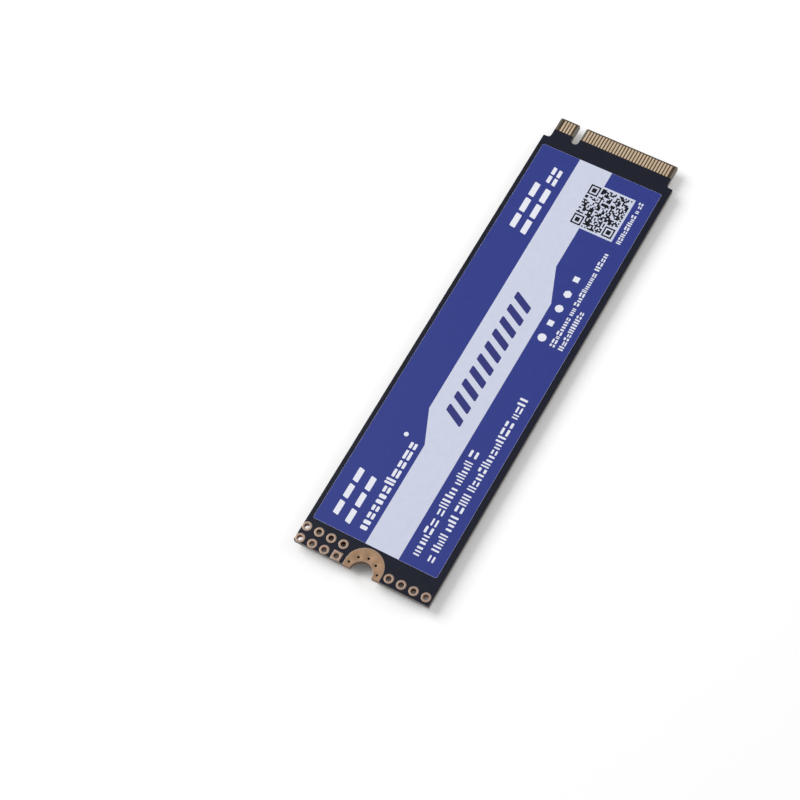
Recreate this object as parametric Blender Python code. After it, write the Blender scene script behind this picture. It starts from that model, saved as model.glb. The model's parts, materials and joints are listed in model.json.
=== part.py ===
"""Gumstick solid state drive.

A thin circuit card with an edge connector at one end and a half-round screw seat at the
other. One face carries a flat label, and the chips and other parts sit on the face below.

Card coordinates: X runs across the card from its centreline, Y runs from the screw end to
the tip of the connector, and Z = 0 is the lower face of the card, from which the parts hang.
The whole card then stands on its tallest parts, with the world origin at the bottom centre.
"""

import math

import bmesh
import bpy
from mathutils import Vector
from mathutils.geometry import delaunay_2d_cdt

MM = 0.001

# Card blank
CARD_WIDTH = 22.0 * MM
CARD_LENGTH = 80.0 * MM
CARD_THICKNESS = 0.80 * MM
MASK_THICKNESS = 0.025 * MM
COPPER_THICKNESS = 0.045 * MM
CARD_CORNER_RADIUS = 0.15 * MM

# Connector tongue and its key notch
SHOULDER_WIDTH = 1.075 * MM
TONGUE_LENGTH = 4.0 * MM
TONGUE_CORNER_RADIUS = 0.20 * MM
SHOULDER_RELIEF_RADIUS = 0.50 * MM
TIP_BEVEL_LENGTH = 0.20 * MM
TIP_BEVEL_DEPTH = 0.15 * MM
KEY_WIDTH = 1.20 * MM
KEY_DEPTH = 3.50 * MM
KEY_OFFSET = 6.125 * MM

# Contact fingers
FINGER_PITCH = 0.50 * MM
FINGER_WIDTH = 0.35 * MM
FINGER_LENGTH = 2.05 * MM
FINGER_TIP_MARGIN = 0.30 * MM
FINGER_SIDE_MARGIN = 0.45 * MM
FINGER_KEY_CLEARANCE = 0.20 * MM

# Screw seat: a half hole in the end edge, with a plated land around it
SCREW_HOLE_RADIUS = 1.75 * MM
LAND_RADIUS = 2.97 * MM
LAND_REACH = 3.91 * MM
LAND_VIA_CIRCLE_RADIUS = 2.40 * MM
LAND_VIA_RADIUS = 0.20 * MM
LAND_VIA_COUNT = 5
LAND_VIA_STEP = math.radians(36)

# Plated test holes beside the screw seat
HOLE_PITCH = 2.0 * MM
HOLE_RADIUS = 0.41 * MM
HOLE_PAD_RADIUS = 0.735 * MM
LEFT_HOLE_COLUMNS = 4
LEFT_HOLE_ROWS = 2
LEFT_HOLE_SIDE_INSET = 0.70 * MM
LEFT_HOLE_END_INSET = 0.67 * MM
RIGHT_HOLE_COUNT = 4
RIGHT_HOLE_SIDE_INSET = 1.0 * MM
RIGHT_HOLE_END_INSET = 1.08 * MM

# Label
LABEL_LEFT_MARGIN = 0.75 * MM
LABEL_RIGHT_MARGIN = 1.05 * MM
LABEL_END_MARGIN = 4.20 * MM
LABEL_SHOULDER_MARGIN = 1.55 * MM
LABEL_THICKNESS = 0.10 * MM
LABEL_CORNER_RADIUS = 0.30 * MM
ADHESIVE_GAP = 0.01 * MM

# Ball grid packages: controller and flash memory
SOLDER_GAP = 0.01 * MM
BALL_STANDOFF = 0.20 * MM
BALL_RADIUS = 0.20 * MM
BALL_SIDES = 6
PACKAGE_EDGE_BEVEL = 0.05 * MM
PIN_MARK_RADIUS = 0.40 * MM
PIN_MARK_INSET = 1.10 * MM
PIN_MARK_DEPTH = 0.03 * MM
CONTROLLER_SIZE = 11.0 * MM
CONTROLLER_BODY_HEIGHT = 0.85 * MM
CONTROLLER_BALL_PITCH = 0.65 * MM
FLASH_WIDTH = 18.0 * MM
FLASH_LENGTH = 12.0 * MM
FLASH_BODY_HEIGHT = 1.00 * MM
FLASH_BALL_PITCH = 1.00 * MM
FLASH_COUNT = 2

# Power management chip, a leadless package with lands round its edge
POWER_CHIP_SIZE = 4.0 * MM
POWER_CHIP_HEIGHT = 0.75 * MM
POWER_CHIP_LAND_PITCH = 0.50 * MM
POWER_CHIP_LAND_WIDTH = 0.25 * MM
POWER_CHIP_LAND_LENGTH = 0.40 * MM
POWER_CHIP_LAND_HEIGHT = 0.04 * MM
POWER_CHIP_LANDS_PER_SIDE = 6
POWER_CHIP_PADDLE_SIZE = 2.6 * MM
POWER_CHIP_MARK_RADIUS = 0.20 * MM
POWER_CHIP_MARK_INSET = 0.55 * MM

# Load switch, a moulded package with bent leads
SWITCH_BODY_LENGTH = 2.9 * MM
SWITCH_BODY_WIDTH = 1.6 * MM
SWITCH_BODY_HEIGHT = 0.95 * MM
SWITCH_BODY_TAPER = 0.08 * MM
SWITCH_STANDOFF = 0.08 * MM
SWITCH_LEAD_PITCH = 0.95 * MM
SWITCH_LEAD_WIDTH = 0.40 * MM
SWITCH_LEAD_THICKNESS = 0.14 * MM
SWITCH_LEAD_SHANK = 0.18 * MM
SWITCH_LEAD_SLOPE = 0.10 * MM
SWITCH_LEAD_FOOT = 0.34 * MM
SWITCH_LEADS_PER_SIDE = 3

# Clock crystal: a ceramic tray with a metal lid
CRYSTAL_LENGTH = 2.5 * MM
CRYSTAL_WIDTH = 2.0 * MM
CRYSTAL_TRAY_HEIGHT = 0.40 * MM
CRYSTAL_LID_HEIGHT = 0.12 * MM
CRYSTAL_LID_INSET = 0.16 * MM
CRYSTAL_CORNER_RADIUS = 0.20 * MM
CRYSTAL_PAD_LENGTH = 0.75 * MM
CRYSTAL_PAD_WIDTH = 0.60 * MM
CRYSTAL_PAD_HEIGHT = 0.04 * MM

# Power inductors
INDUCTOR_LENGTH = 2.5 * MM
INDUCTOR_WIDTH = 2.0 * MM
INDUCTOR_HEIGHT = 1.05 * MM
INDUCTOR_CORNER_RADIUS = 0.25 * MM
INDUCTOR_EDGE_BEVEL = 0.08 * MM
INDUCTOR_TERMINAL_LENGTH = 0.60 * MM
INDUCTOR_TERMINAL_HEIGHT = 0.06 * MM
INDUCTOR_COUNT = 3

# Chip capacitors and resistors: length, width, height and end band of each case size
LARGE_CHIP_LENGTH = 2.0 * MM
LARGE_CHIP_WIDTH = 1.25 * MM
LARGE_CHIP_HEIGHT = 0.95 * MM
LARGE_CHIP_BAND = 0.45 * MM
MEDIUM_CHIP_LENGTH = 1.6 * MM
MEDIUM_CHIP_WIDTH = 0.80 * MM
MEDIUM_CHIP_HEIGHT = 0.80 * MM
MEDIUM_CHIP_BAND = 0.35 * MM
SMALL_CHIP_LENGTH = 1.0 * MM
SMALL_CHIP_WIDTH = 0.50 * MM
SMALL_CHIP_HEIGHT = 0.50 * MM
SMALL_CHIP_BAND = 0.25 * MM
RESISTOR_HEIGHT = 0.32 * MM
BAND_HEIGHT = 0.015 * MM
FILLET_LENGTH = 0.14 * MM
FILLET_TOE_HEIGHT = 0.04 * MM
FILLET_CLIMB = 0.60

# Spacing of the parts on the lower face
SIDE_MARGIN = 0.85 * MM
FIRST_ROW_MARGIN = 1.50 * MM
PART_GAP = 0.55 * MM
CHIP_GAP = 0.50 * MM
SMALL_CHIP_GAP = 0.25 * MM
FLASH_ROW_GAP = 3.40 * MM
INPUT_CAPACITOR_ROWS = 2
OUTPUT_CAPACITOR_ROWS = 2
LINK_CAPACITOR_COUNT = 8
LINK_CAPACITOR_PITCH = 1.15 * MM
RESISTOR_COUNT = 6
CRYSTAL_CAPACITOR_COUNT = 2
DECOUPLING_PER_ROW = 6
DECOUPLING_PITCH = 2.7 * MM

# Roundness of drawn arcs
ARC_STEP = math.radians(12)
HOLE_SIDES = 20
PAD_SIDES = 24
VIA_SIDES = 8
SMOOTH_LIMIT = math.radians(30)
FACING_LIMIT = math.cos(math.radians(60))
MERGE_DISTANCE = 0.00001 * MM

QUARTER_TURN = math.radians(90)
SEAT = -SOLDER_GAP
TONGUE_WIDTH = CARD_WIDTH - 2 * SHOULDER_WIDTH
SHOULDER_Y = CARD_LENGTH - TONGUE_LENGTH
MASK_LINE_Y = CARD_LENGTH - FINGER_TIP_MARGIN - FINGER_LENGTH
UNDERSIDE_HEIGHT = SOLDER_GAP + max(
    BALL_STANDOFF + FLASH_BODY_HEIGHT,
    BALL_STANDOFF + CONTROLLER_BODY_HEIGHT,
    SWITCH_STANDOFF + SWITCH_BODY_HEIGHT,
    INDUCTOR_TERMINAL_HEIGHT + INDUCTOR_HEIGHT,
    POWER_CHIP_LAND_HEIGHT + POWER_CHIP_HEIGHT,
    LARGE_CHIP_HEIGHT,
    MEDIUM_CHIP_HEIGHT,
)


def clear_scene():
    """Remove every object of the open scene."""
    for old in list(bpy.data.objects):
        bpy.data.objects.remove(old, do_unlink=True)


def make_material(name, colour, roughness, metallic=0.0):
    """Return a plain surface material."""
    material = bpy.data.materials.new(name)
    material.use_nodes = True
    shader = material.node_tree.nodes["Principled BSDF"]
    shader.inputs["Base Color"].default_value = (*colour, 1.0)
    shader.inputs["Roughness"].default_value = roughness
    shader.inputs["Metallic"].default_value = metallic
    return material


def make_mesh(name, bm, material):
    """Turn a bmesh into a named mesh with smooth round walls and sharp edges."""
    bmesh.ops.recalc_face_normals(bm, faces=bm.faces)
    mesh = bpy.data.meshes.new(name)
    bm.to_mesh(mesh)
    bm.free()
    mesh.materials.append(material)
    mesh.shade_smooth()
    mesh.set_sharp_from_angle(angle=SMOOTH_LIMIT)
    return mesh


def place(name, mesh, parent, x=0.0, y=0.0, z=0.0, turn=0.0):
    """Add one object to the card at a place on it, turned about its upright axis."""
    item = bpy.data.objects.new(name, mesh)
    bpy.context.collection.objects.link(item)
    item.parent = parent
    item.location = (x, y, z)
    item.rotation_euler = (0.0, 0.0, turn)
    return item


def rectangle(left, near, right, far):
    """Return the four corners of a rectangle, counterclockwise."""
    return [(left, near), (right, near), (right, far), (left, far)]


def box_about(x, y, size_x, size_y):
    """Return a rectangle of the given size about a centre."""
    return rectangle(x - size_x / 2, y - size_y / 2, x + size_x / 2, y + size_y / 2)


def circle(x, y, radius, sides):
    """Return a regular loop of points whose flats touch the circle from outside."""
    reach = radius / math.cos(math.pi / sides)
    turns = [2 * math.pi * (i + 0.5) / sides for i in range(sides)]
    return [(x + reach * math.cos(a), y + reach * math.sin(a)) for a in turns]


def arc(x, y, radius, start, end):
    """Return points along an arc, both ends included."""
    steps = max(2, math.ceil(abs(end - start) / ARC_STEP))
    turns = [start + (end - start) * i / steps for i in range(steps + 1)]
    return [(x + radius * math.cos(a), y + radius * math.sin(a)) for a in turns]


def rounded(corners):
    """Return a closed loop from (x, y, radius) corners, each rounded to its radius."""
    loop = []
    for i, (x, y, radius) in enumerate(corners):
        here = Vector((x, y))
        before = Vector(corners[i - 1][:2]) - here
        after = Vector(corners[(i + 1) % len(corners)][:2]) - here
        half = before.angle(after) / 2
        run = min(radius / math.tan(half), before.length / 2, after.length / 2)
        if run < MERGE_DISTANCE:
            loop.append((x, y))
            continue
        first = here + before.normalized() * run
        last = here + after.normalized() * run
        centre = here + (before.normalized() + after.normalized()).normalized() * (run / math.cos(half))
        start = math.atan2(first.y - centre.y, first.x - centre.x)
        sweep = math.atan2(last.y - centre.y, last.x - centre.x) - start
        sweep = (sweep + math.pi) % (2 * math.pi) - math.pi
        loop += arc(centre.x, centre.y, (first - centre).length, start, start + sweep)
    return loop


def rounded_rectangle(left, near, right, far, radius):
    """Return a rectangle with all four corners rounded."""
    return rounded([(x, y, radius) for x, y in rectangle(left, near, right, far)])


def drawn_sheet(outline, holes=(), regions=()):
    """Return a flat bmesh of an outline without its holes, split along region borders.

    regions is a list of loop groups. A face inside any loop of group i carries bit i in
    the face layer named region, which later steps use to raise or sink that group.
    """
    loops = [(outline, "outline")]
    loops += [(hole, "hole") for hole in holes]
    for number, group in enumerate(regions):
        loops += [(loop, number) for loop in group]
    points = []
    faces = []
    for loop, _ in loops:
        faces.append(list(range(len(points), len(points) + len(loop))))
        points += [Vector((x / MM, y / MM)) for x, y in loop]
    drawn = delaunay_2d_cdt(points, [], faces, 1, MERGE_DISTANCE / MM)
    bm = bmesh.new()
    layer = bm.faces.layers.int.new("region")
    corners = [bm.verts.new((p.x * MM, p.y * MM, 0.0)) for p in drawn[0]]
    for face, sources in zip(drawn[2], drawn[5]):
        kinds = {loops[i][1] for i in sources}
        if "outline" not in kinds or "hole" in kinds:
            continue
        made = bm.faces.new([corners[i] for i in face])
        made[layer] = sum(1 << kind for kind in kinds if isinstance(kind, int))
    bmesh.ops.delete(bm, geom=[v for v in bm.verts if not v.link_faces], context="VERTS")
    return bm


def thicken(bm, low, high):
    """Make a flat sheet into a plate between two heights."""
    upper = bmesh.ops.extrude_face_region(bm, geom=bm.faces[:])["geom"]
    upper = {v for v in upper if isinstance(v, bmesh.types.BMVert)}
    for vert in bm.verts:
        vert.co.z = high if vert in upper else low
    bmesh.ops.recalc_face_normals(bm, faces=bm.faces)


def step_region(bm, number, side, height):
    """Move a region of a plate's upper (side 1) or lower (side -1) face out by a height.

    A negative height sinks the region. The walls between the levels stand upright.
    """
    layer = bm.faces.layers.int["region"]
    bm.normal_update()
    faces = [f for f in bm.faces if f[layer] & (1 << number) and f.normal.z * side > FACING_LIMIT]
    moved = bmesh.ops.extrude_face_region(bm, geom=faces)["geom"]
    moved = [v for v in moved if isinstance(v, bmesh.types.BMVert)]
    bmesh.ops.delete(bm, geom=faces, context="FACES")
    bmesh.ops.translate(bm, verts=moved, vec=(0.0, 0.0, side * height))


def lofted(rings):
    """Return a closed bmesh through rings of points, with flat ends."""
    bm = bmesh.new()
    rows = [[bm.verts.new(point) for point in ring] for ring in rings]
    count = len(rows[0])
    for row, following in zip(rows, rows[1:]):
        for i in range(count):
            j = (i + 1) % count
            bm.faces.new((row[i], row[j], following[j], following[i]))
    bm.faces.new(rows[0])
    bm.faces.new(list(reversed(rows[-1])))
    return bm


def bevel_lower_rim(bm, width):
    """Bevel the edges around the lowest flat face of a package."""
    bm.edges.ensure_lookup_table()
    low = min(v.co.z for v in bm.verts)
    rim = []
    for edge in bm.edges:
        flat = all(abs(v.co.z - low) < MERGE_DISTANCE for v in edge.verts)
        if flat and len(edge.link_faces) == 2 and edge.calc_face_angle() > SMOOTH_LIMIT:
            rim.append(edge)
    bmesh.ops.bevel(bm, geom=rim, offset=width, segments=1, affect="EDGES")


def unite(body, tools):
    """Join tool objects into a body as one solid, and remove the tools."""
    for tool in tools:
        union = body.modifiers.new("join", "BOOLEAN")
        union.operation = "UNION"
        union.solver = "EXACT"
        union.object = tool
    evaluated = body.evaluated_get(bpy.context.evaluated_depsgraph_get())
    mesh = bpy.data.meshes.new_from_object(evaluated)
    body.modifiers.clear()
    for tool in tools:
        bpy.data.objects.remove(tool, do_unlink=True)
    mesh.shade_smooth()
    mesh.set_sharp_from_angle(angle=SMOOTH_LIMIT)
    return mesh


def card_outline():
    """Return the card's outline: body, shoulders, tongue, key notch and half hole."""
    side = CARD_WIDTH / 2
    tongue = TONGUE_WIDTH / 2
    key_left = -KEY_OFFSET - KEY_WIDTH / 2
    key_right = -KEY_OFFSET + KEY_WIDTH / 2
    key_bottom = CARD_LENGTH - KEY_DEPTH
    corners = [
        (SCREW_HOLE_RADIUS, 0.0, 0.0),
        (side, 0.0, CARD_CORNER_RADIUS),
        (side, SHOULDER_Y, CARD_CORNER_RADIUS),
        (tongue, SHOULDER_Y, SHOULDER_RELIEF_RADIUS),
        (tongue, CARD_LENGTH, TONGUE_CORNER_RADIUS),
        (key_right, CARD_LENGTH, TONGUE_CORNER_RADIUS),
        (key_right, key_bottom, KEY_WIDTH / 2),
        (key_left, key_bottom, KEY_WIDTH / 2),
        (key_left, CARD_LENGTH, TONGUE_CORNER_RADIUS),
        (-tongue, CARD_LENGTH, TONGUE_CORNER_RADIUS),
        (-tongue, SHOULDER_Y, SHOULDER_RELIEF_RADIUS),
        (-side, SHOULDER_Y, CARD_CORNER_RADIUS),
        (-side, 0.0, CARD_CORNER_RADIUS),
        (-SCREW_HOLE_RADIUS, 0.0, 0.0),
    ]
    half_hole = arc(0.0, 0.0, SCREW_HOLE_RADIUS, math.pi, 0.0)
    return rounded(corners) + half_hole[1:-1]


def finger_loops(places):
    """Return one row of contact fingers, left out where the key notch comes near.

    Args:
        places: number of places in the full row, centred on the tongue.
    """
    key_reach = KEY_WIDTH / 2 + FINGER_KEY_CLEARANCE + FINGER_WIDTH / 2
    far = CARD_LENGTH - FINGER_TIP_MARGIN
    loops = []
    for i in range(places):
        x = (i - (places - 1) / 2) * FINGER_PITCH
        if abs(x + KEY_OFFSET) >= key_reach:
            loops.append(rectangle(x - FINGER_WIDTH / 2, MASK_LINE_Y, x + FINGER_WIDTH / 2, far))
    return loops


def hole_centres():
    """Return the centres of the left grid and of the right row of plated holes."""
    left = -CARD_WIDTH / 2 + LEFT_HOLE_SIDE_INSET
    grid = [
        (left + column * HOLE_PITCH, LEFT_HOLE_END_INSET + row * HOLE_PITCH)
        for row in range(LEFT_HOLE_ROWS)
        for column in range(LEFT_HOLE_COLUMNS)
    ]
    right = CARD_WIDTH / 2 - RIGHT_HOLE_SIDE_INSET
    line = [(right - i * HOLE_PITCH, RIGHT_HOLE_END_INSET) for i in range(RIGHT_HOLE_COUNT)]
    return grid, line


def land_loop():
    """Return the plated land round the half hole: a round head with straight sides."""
    centre_y = LAND_REACH - LAND_RADIUS
    head = arc(0.0, centre_y, LAND_RADIUS, 0.0, math.pi)
    below = -LAND_RADIUS
    return [(LAND_RADIUS, below)] + head + [(-LAND_RADIUS, below)]


def circuit_board(material):
    """Make the card with its fingers, pads, plated holes and screw land as one solid."""
    grid, line = hole_centres()
    square = grid[LEFT_HOLE_COLUMNS - 1]
    pads = [circle(x, y, HOLE_PAD_RADIUS, PAD_SIDES) for x, y in grid + line if (x, y) != square]
    pads.append(box_about(*square, 2 * HOLE_PAD_RADIUS, 2 * HOLE_PAD_RADIUS))
    holes = [circle(x, y, HOLE_RADIUS, HOLE_SIDES) for x, y in grid + line]
    for i in range(LAND_VIA_COUNT):
        angle = math.pi / 2 + (i - (LAND_VIA_COUNT - 1) / 2) * LAND_VIA_STEP
        x = LAND_VIA_CIRCLE_RADIUS * math.cos(angle)
        y = LAND_VIA_CIRCLE_RADIUS * math.sin(angle)
        holes.append(circle(x, y, LAND_VIA_RADIUS, VIA_SIDES))
    lower_places = 1 + int((TONGUE_WIDTH - 2 * FINGER_SIDE_MARGIN - FINGER_WIDTH) / FINGER_PITCH)
    upper_fingers = finger_loops(lower_places - 1)
    lower_fingers = finger_loops(lower_places)
    masked = [rectangle(-CARD_WIDTH, -CARD_LENGTH, CARD_WIDTH, MASK_LINE_Y)]
    bevel_y = CARD_LENGTH - TIP_BEVEL_LENGTH
    bevel_strip = [rectangle(-CARD_WIDTH, bevel_y, CARD_WIDTH, 2 * CARD_LENGTH)]
    common = pads + [land_loop()]
    regions = [
        masked + upper_fingers,
        masked + lower_fingers,
        common + upper_fingers,
        common + lower_fingers,
        bevel_strip,
    ]
    bm = drawn_sheet(card_outline(), holes, regions)
    laminate_low = MASK_THICKNESS
    laminate_high = CARD_THICKNESS - MASK_THICKNESS
    thicken(bm, laminate_low, laminate_high)
    for vert in bm.verts:
        share = max(0.0, (vert.co.y - bevel_y) / TIP_BEVEL_LENGTH)
        lift = TIP_BEVEL_DEPTH * share
        vert.co.z += -lift if vert.co.z > CARD_THICKNESS / 2 else lift
    copper_over_mask = COPPER_THICKNESS - MASK_THICKNESS
    step_region(bm, 0, 1, MASK_THICKNESS)
    step_region(bm, 1, -1, MASK_THICKNESS)
    step_region(bm, 2, 1, copper_over_mask)
    step_region(bm, 3, -1, copper_over_mask)
    return make_mesh("circuit_board", bm, material)


def product_label(material):
    """Make the flat label with rounded corners."""
    left = -CARD_WIDTH / 2 + LABEL_LEFT_MARGIN
    right = CARD_WIDTH / 2 - LABEL_RIGHT_MARGIN
    far = SHOULDER_Y - LABEL_SHOULDER_MARGIN
    outline = rounded_rectangle(left, LABEL_END_MARGIN, right, far, LABEL_CORNER_RADIUS)
    bm = drawn_sheet(outline)
    thicken(bm, 0.0, LABEL_THICKNESS)
    return make_mesh("product_label", bm, material)


def ball_ring(size_x, size_y, pitch):
    """Return the outer ring of solder balls of a package, on a centred grid."""
    columns = int((size_x - pitch) / pitch)
    rows = int((size_y - pitch) / pitch)
    loops = []
    for i in range(columns):
        for j in range(rows):
            if i in (0, columns - 1) or j in (0, rows - 1):
                x = (i - (columns - 1) / 2) * pitch
                y = (j - (rows - 1) / 2) * pitch
                loops.append(circle(x, y, BALL_RADIUS, BALL_SIDES))
    return loops


def ball_package(name, size_x, size_y, body_height, pitch, material):
    """Make a ball grid package that hangs below Z = 0, with a round mark by its first pin."""
    outline = box_about(0.0, 0.0, size_x, size_y)
    mark_x = -size_x / 2 + PIN_MARK_INSET
    mark_y = size_y / 2 - PIN_MARK_INSET
    mark = [circle(mark_x, mark_y, PIN_MARK_RADIUS, HOLE_SIDES)]
    bm = drawn_sheet(outline, (), [ball_ring(size_x, size_y, pitch), mark])
    thicken(bm, -BALL_STANDOFF - body_height, -BALL_STANDOFF)
    step_region(bm, 0, 1, BALL_STANDOFF)
    step_region(bm, 1, -1, -PIN_MARK_DEPTH)
    bevel_lower_rim(bm, PACKAGE_EDGE_BEVEL)
    return make_mesh(name, bm, material)


def power_chip(material):
    """Make the leadless power chip, with lands round its edge and a paddle in the middle."""
    half = POWER_CHIP_SIZE / 2
    outline = box_about(0.0, 0.0, POWER_CHIP_SIZE, POWER_CHIP_SIZE)
    inner = half - POWER_CHIP_LAND_LENGTH
    reach = POWER_CHIP_LAND_WIDTH / 2
    lands = [box_about(0.0, 0.0, POWER_CHIP_PADDLE_SIZE, POWER_CHIP_PADDLE_SIZE)]
    for i in range(POWER_CHIP_LANDS_PER_SIDE):
        c = (i - (POWER_CHIP_LANDS_PER_SIDE - 1) / 2) * POWER_CHIP_LAND_PITCH
        lands.append(rectangle(c - reach, inner, c + reach, half))
        lands.append(rectangle(c - reach, -half, c + reach, -inner))
        lands.append(rectangle(inner, c - reach, half, c + reach))
        lands.append(rectangle(-half, c - reach, -inner, c + reach))
    mark_place = half - POWER_CHIP_MARK_INSET
    mark = [circle(-mark_place, mark_place, POWER_CHIP_MARK_RADIUS, HOLE_SIDES)]
    bm = drawn_sheet(outline, (), [lands, mark])
    thicken(bm, -POWER_CHIP_LAND_HEIGHT - POWER_CHIP_HEIGHT, -POWER_CHIP_LAND_HEIGHT)
    step_region(bm, 0, 1, POWER_CHIP_LAND_HEIGHT)
    step_region(bm, 1, -1, -PIN_MARK_DEPTH)
    return make_mesh("power_management_chip", bm, material)


def band_loop(path, thickness):
    """Return the closed outline of a strip of even thickness along a bent path."""
    points = [Vector(p) for p in path]
    sides = ([], [])
    for i, point in enumerate(points):
        before = (point - points[i - 1]).normalized() if i else None
        after = (points[i + 1] - point).normalized() if i + 1 < len(points) else None
        before = before or after
        after = after or before
        along = (before + after).normalized()
        across = Vector((-along.y, along.x)) * (thickness / 2 / along.dot(after))
        sides[0].append(point + across)
        sides[1].append(point - across)
    return [tuple(p) for p in sides[0] + list(reversed(sides[1]))]


def load_switch(parent, material):
    """Make the load switch: a tapered moulded body joined with its bent leads."""
    top = -SWITCH_STANDOFF
    bottom = top - SWITCH_BODY_HEIGHT
    middle = (top + bottom) / 2
    half_x = SWITCH_BODY_LENGTH / 2
    half_y = SWITCH_BODY_WIDTH / 2
    levels = [(top, SWITCH_BODY_TAPER), (middle, 0.0), (bottom, SWITCH_BODY_TAPER)]
    rings = []
    for z, taper in levels:
        loop = rectangle(taper - half_x, taper - half_y, half_x - taper, half_y - taper)
        rings.append([(x, y, z) for x, y in loop])
    body = place("load_switch", make_mesh("load_switch", lofted(rings), material), parent)
    foot_z = -SWITCH_LEAD_THICKNESS / 2
    shank_end = half_y + SWITCH_LEAD_SHANK
    foot_start = shank_end + SWITCH_LEAD_SLOPE
    path = [
        (half_y - SWITCH_LEAD_SHANK, middle),
        (shank_end, middle),
        (foot_start, foot_z),
        (foot_start + SWITCH_LEAD_FOOT, foot_z),
    ]
    profile = band_loop(path, SWITCH_LEAD_THICKNESS)
    tools = []
    for side in (1, -1):
        for i in range(SWITCH_LEADS_PER_SIDE):
            x = (i - (SWITCH_LEADS_PER_SIDE - 1) / 2) * SWITCH_LEAD_PITCH
            left = x - SWITCH_LEAD_WIDTH / 2
            right = x + SWITCH_LEAD_WIDTH / 2
            lead = lofted([[(end, side * y, z) for y, z in profile] for end in (left, right)])
            tools.append(place("lead", make_mesh("lead", lead, material), parent))
    joined = unite(body, tools)
    joined.name = "load_switch"
    body.data = joined
    return body


def clock_crystal(material):
    """Make the crystal: a ceramic tray with hollowed corners, four pads and a raised lid."""
    x, y = CRYSTAL_LENGTH / 2, CRYSTAL_WIDTH / 2
    quarter = math.pi / 2
    outline = []
    for i, (cx, cy) in enumerate([(-x, -y), (x, -y), (x, y), (-x, y)]):
        outline += arc(cx, cy, CRYSTAL_CORNER_RADIUS, (i + 1) * quarter, i * quarter)
    inset = CRYSTAL_LID_INSET
    lid = rounded_rectangle(inset - x, inset - y, x - inset, y - inset, CRYSTAL_CORNER_RADIUS)
    pads = []
    for side_x in (-1, 1):
        for side_y in (-1, 1):
            pad_x = side_x * (x - CRYSTAL_PAD_LENGTH / 2)
            pad_y = side_y * (y - CRYSTAL_PAD_WIDTH / 2)
            pads.append(box_about(pad_x, pad_y, CRYSTAL_PAD_LENGTH, CRYSTAL_PAD_WIDTH))
    bm = drawn_sheet(outline, (), [pads, [lid]])
    thicken(bm, -CRYSTAL_PAD_HEIGHT - CRYSTAL_TRAY_HEIGHT, -CRYSTAL_PAD_HEIGHT)
    step_region(bm, 0, 1, CRYSTAL_PAD_HEIGHT)
    step_region(bm, 1, -1, CRYSTAL_LID_HEIGHT)
    return make_mesh("clock_crystal", bm, material)


def power_inductor(material):
    """Make a moulded inductor with rounded corners and a terminal under each end."""
    x, y = INDUCTOR_LENGTH / 2, INDUCTOR_WIDTH / 2
    outline = rounded_rectangle(-x, -y, x, y, INDUCTOR_CORNER_RADIUS)
    inner = x - INDUCTOR_TERMINAL_LENGTH
    terminals = [rectangle(-x, -y, -inner, y), rectangle(inner, -y, x, y)]
    bm = drawn_sheet(outline, (), [terminals])
    thicken(bm, -INDUCTOR_TERMINAL_HEIGHT - INDUCTOR_HEIGHT, -INDUCTOR_TERMINAL_HEIGHT)
    step_region(bm, 0, 1, INDUCTOR_TERMINAL_HEIGHT)
    bevel_lower_rim(bm, INDUCTOR_EDGE_BEVEL)
    return make_mesh("power_inductor", bm, material)


def chip_part(name, length, width, height, band, material):
    """Make a chip capacitor or resistor with its end bands and solder fillets.

    The body runs along X and hangs below Z = 0. Rings of four points are lofted from one
    solder toe to the other, and the middle is a band's height slimmer than the ends.
    """
    end = length / 2
    inner = end - band
    waist = BAND_HEIGHT
    climb = FILLET_CLIMB * height
    half = [
        (end + FILLET_LENGTH, 0.0, FILLET_TOE_HEIGHT, width / 2),
        (end, 0.0, climb, width / 2),
        (end, 0.0, height, width / 2),
        (inner, 0.0, height, width / 2),
        (inner, waist, height - waist, width / 2 - waist),
    ]
    stations = [(-x, a, b, w) for x, a, b, w in half] + list(reversed(half))
    rings = [[(x, -w, -a), (x, w, -a), (x, w, -b), (x, -w, -b)] for x, a, b, w in stations]
    return make_mesh(name, lofted(rings), material)


def row(count, pitch, centre=0.0):
    """Return evenly spaced places about a centre."""
    return [centre + (i - (count - 1) / 2) * pitch for i in range(count)]


def soldered_run(length):
    """Return the length of a chip part with the solder at both its ends."""
    return length + 2 * FILLET_LENGTH


def chip_meshes(ceramic, film):
    """Return the shared meshes of the chip capacitors and resistors by case size."""
    sizes = {
        "large": (LARGE_CHIP_LENGTH, LARGE_CHIP_WIDTH, LARGE_CHIP_HEIGHT, LARGE_CHIP_BAND),
        "medium": (MEDIUM_CHIP_LENGTH, MEDIUM_CHIP_WIDTH, MEDIUM_CHIP_HEIGHT, MEDIUM_CHIP_BAND),
        "small": (SMALL_CHIP_LENGTH, SMALL_CHIP_WIDTH, SMALL_CHIP_HEIGHT, SMALL_CHIP_BAND),
    }
    meshes = {name: chip_part(f"{name}_capacitor", *size, ceramic) for name, size in sizes.items()}
    resistor = (SMALL_CHIP_LENGTH, SMALL_CHIP_WIDTH, RESISTOR_HEIGHT, SMALL_CHIP_BAND)
    meshes["resistor"] = chip_part("small_resistor", *resistor, film)
    return meshes


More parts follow.
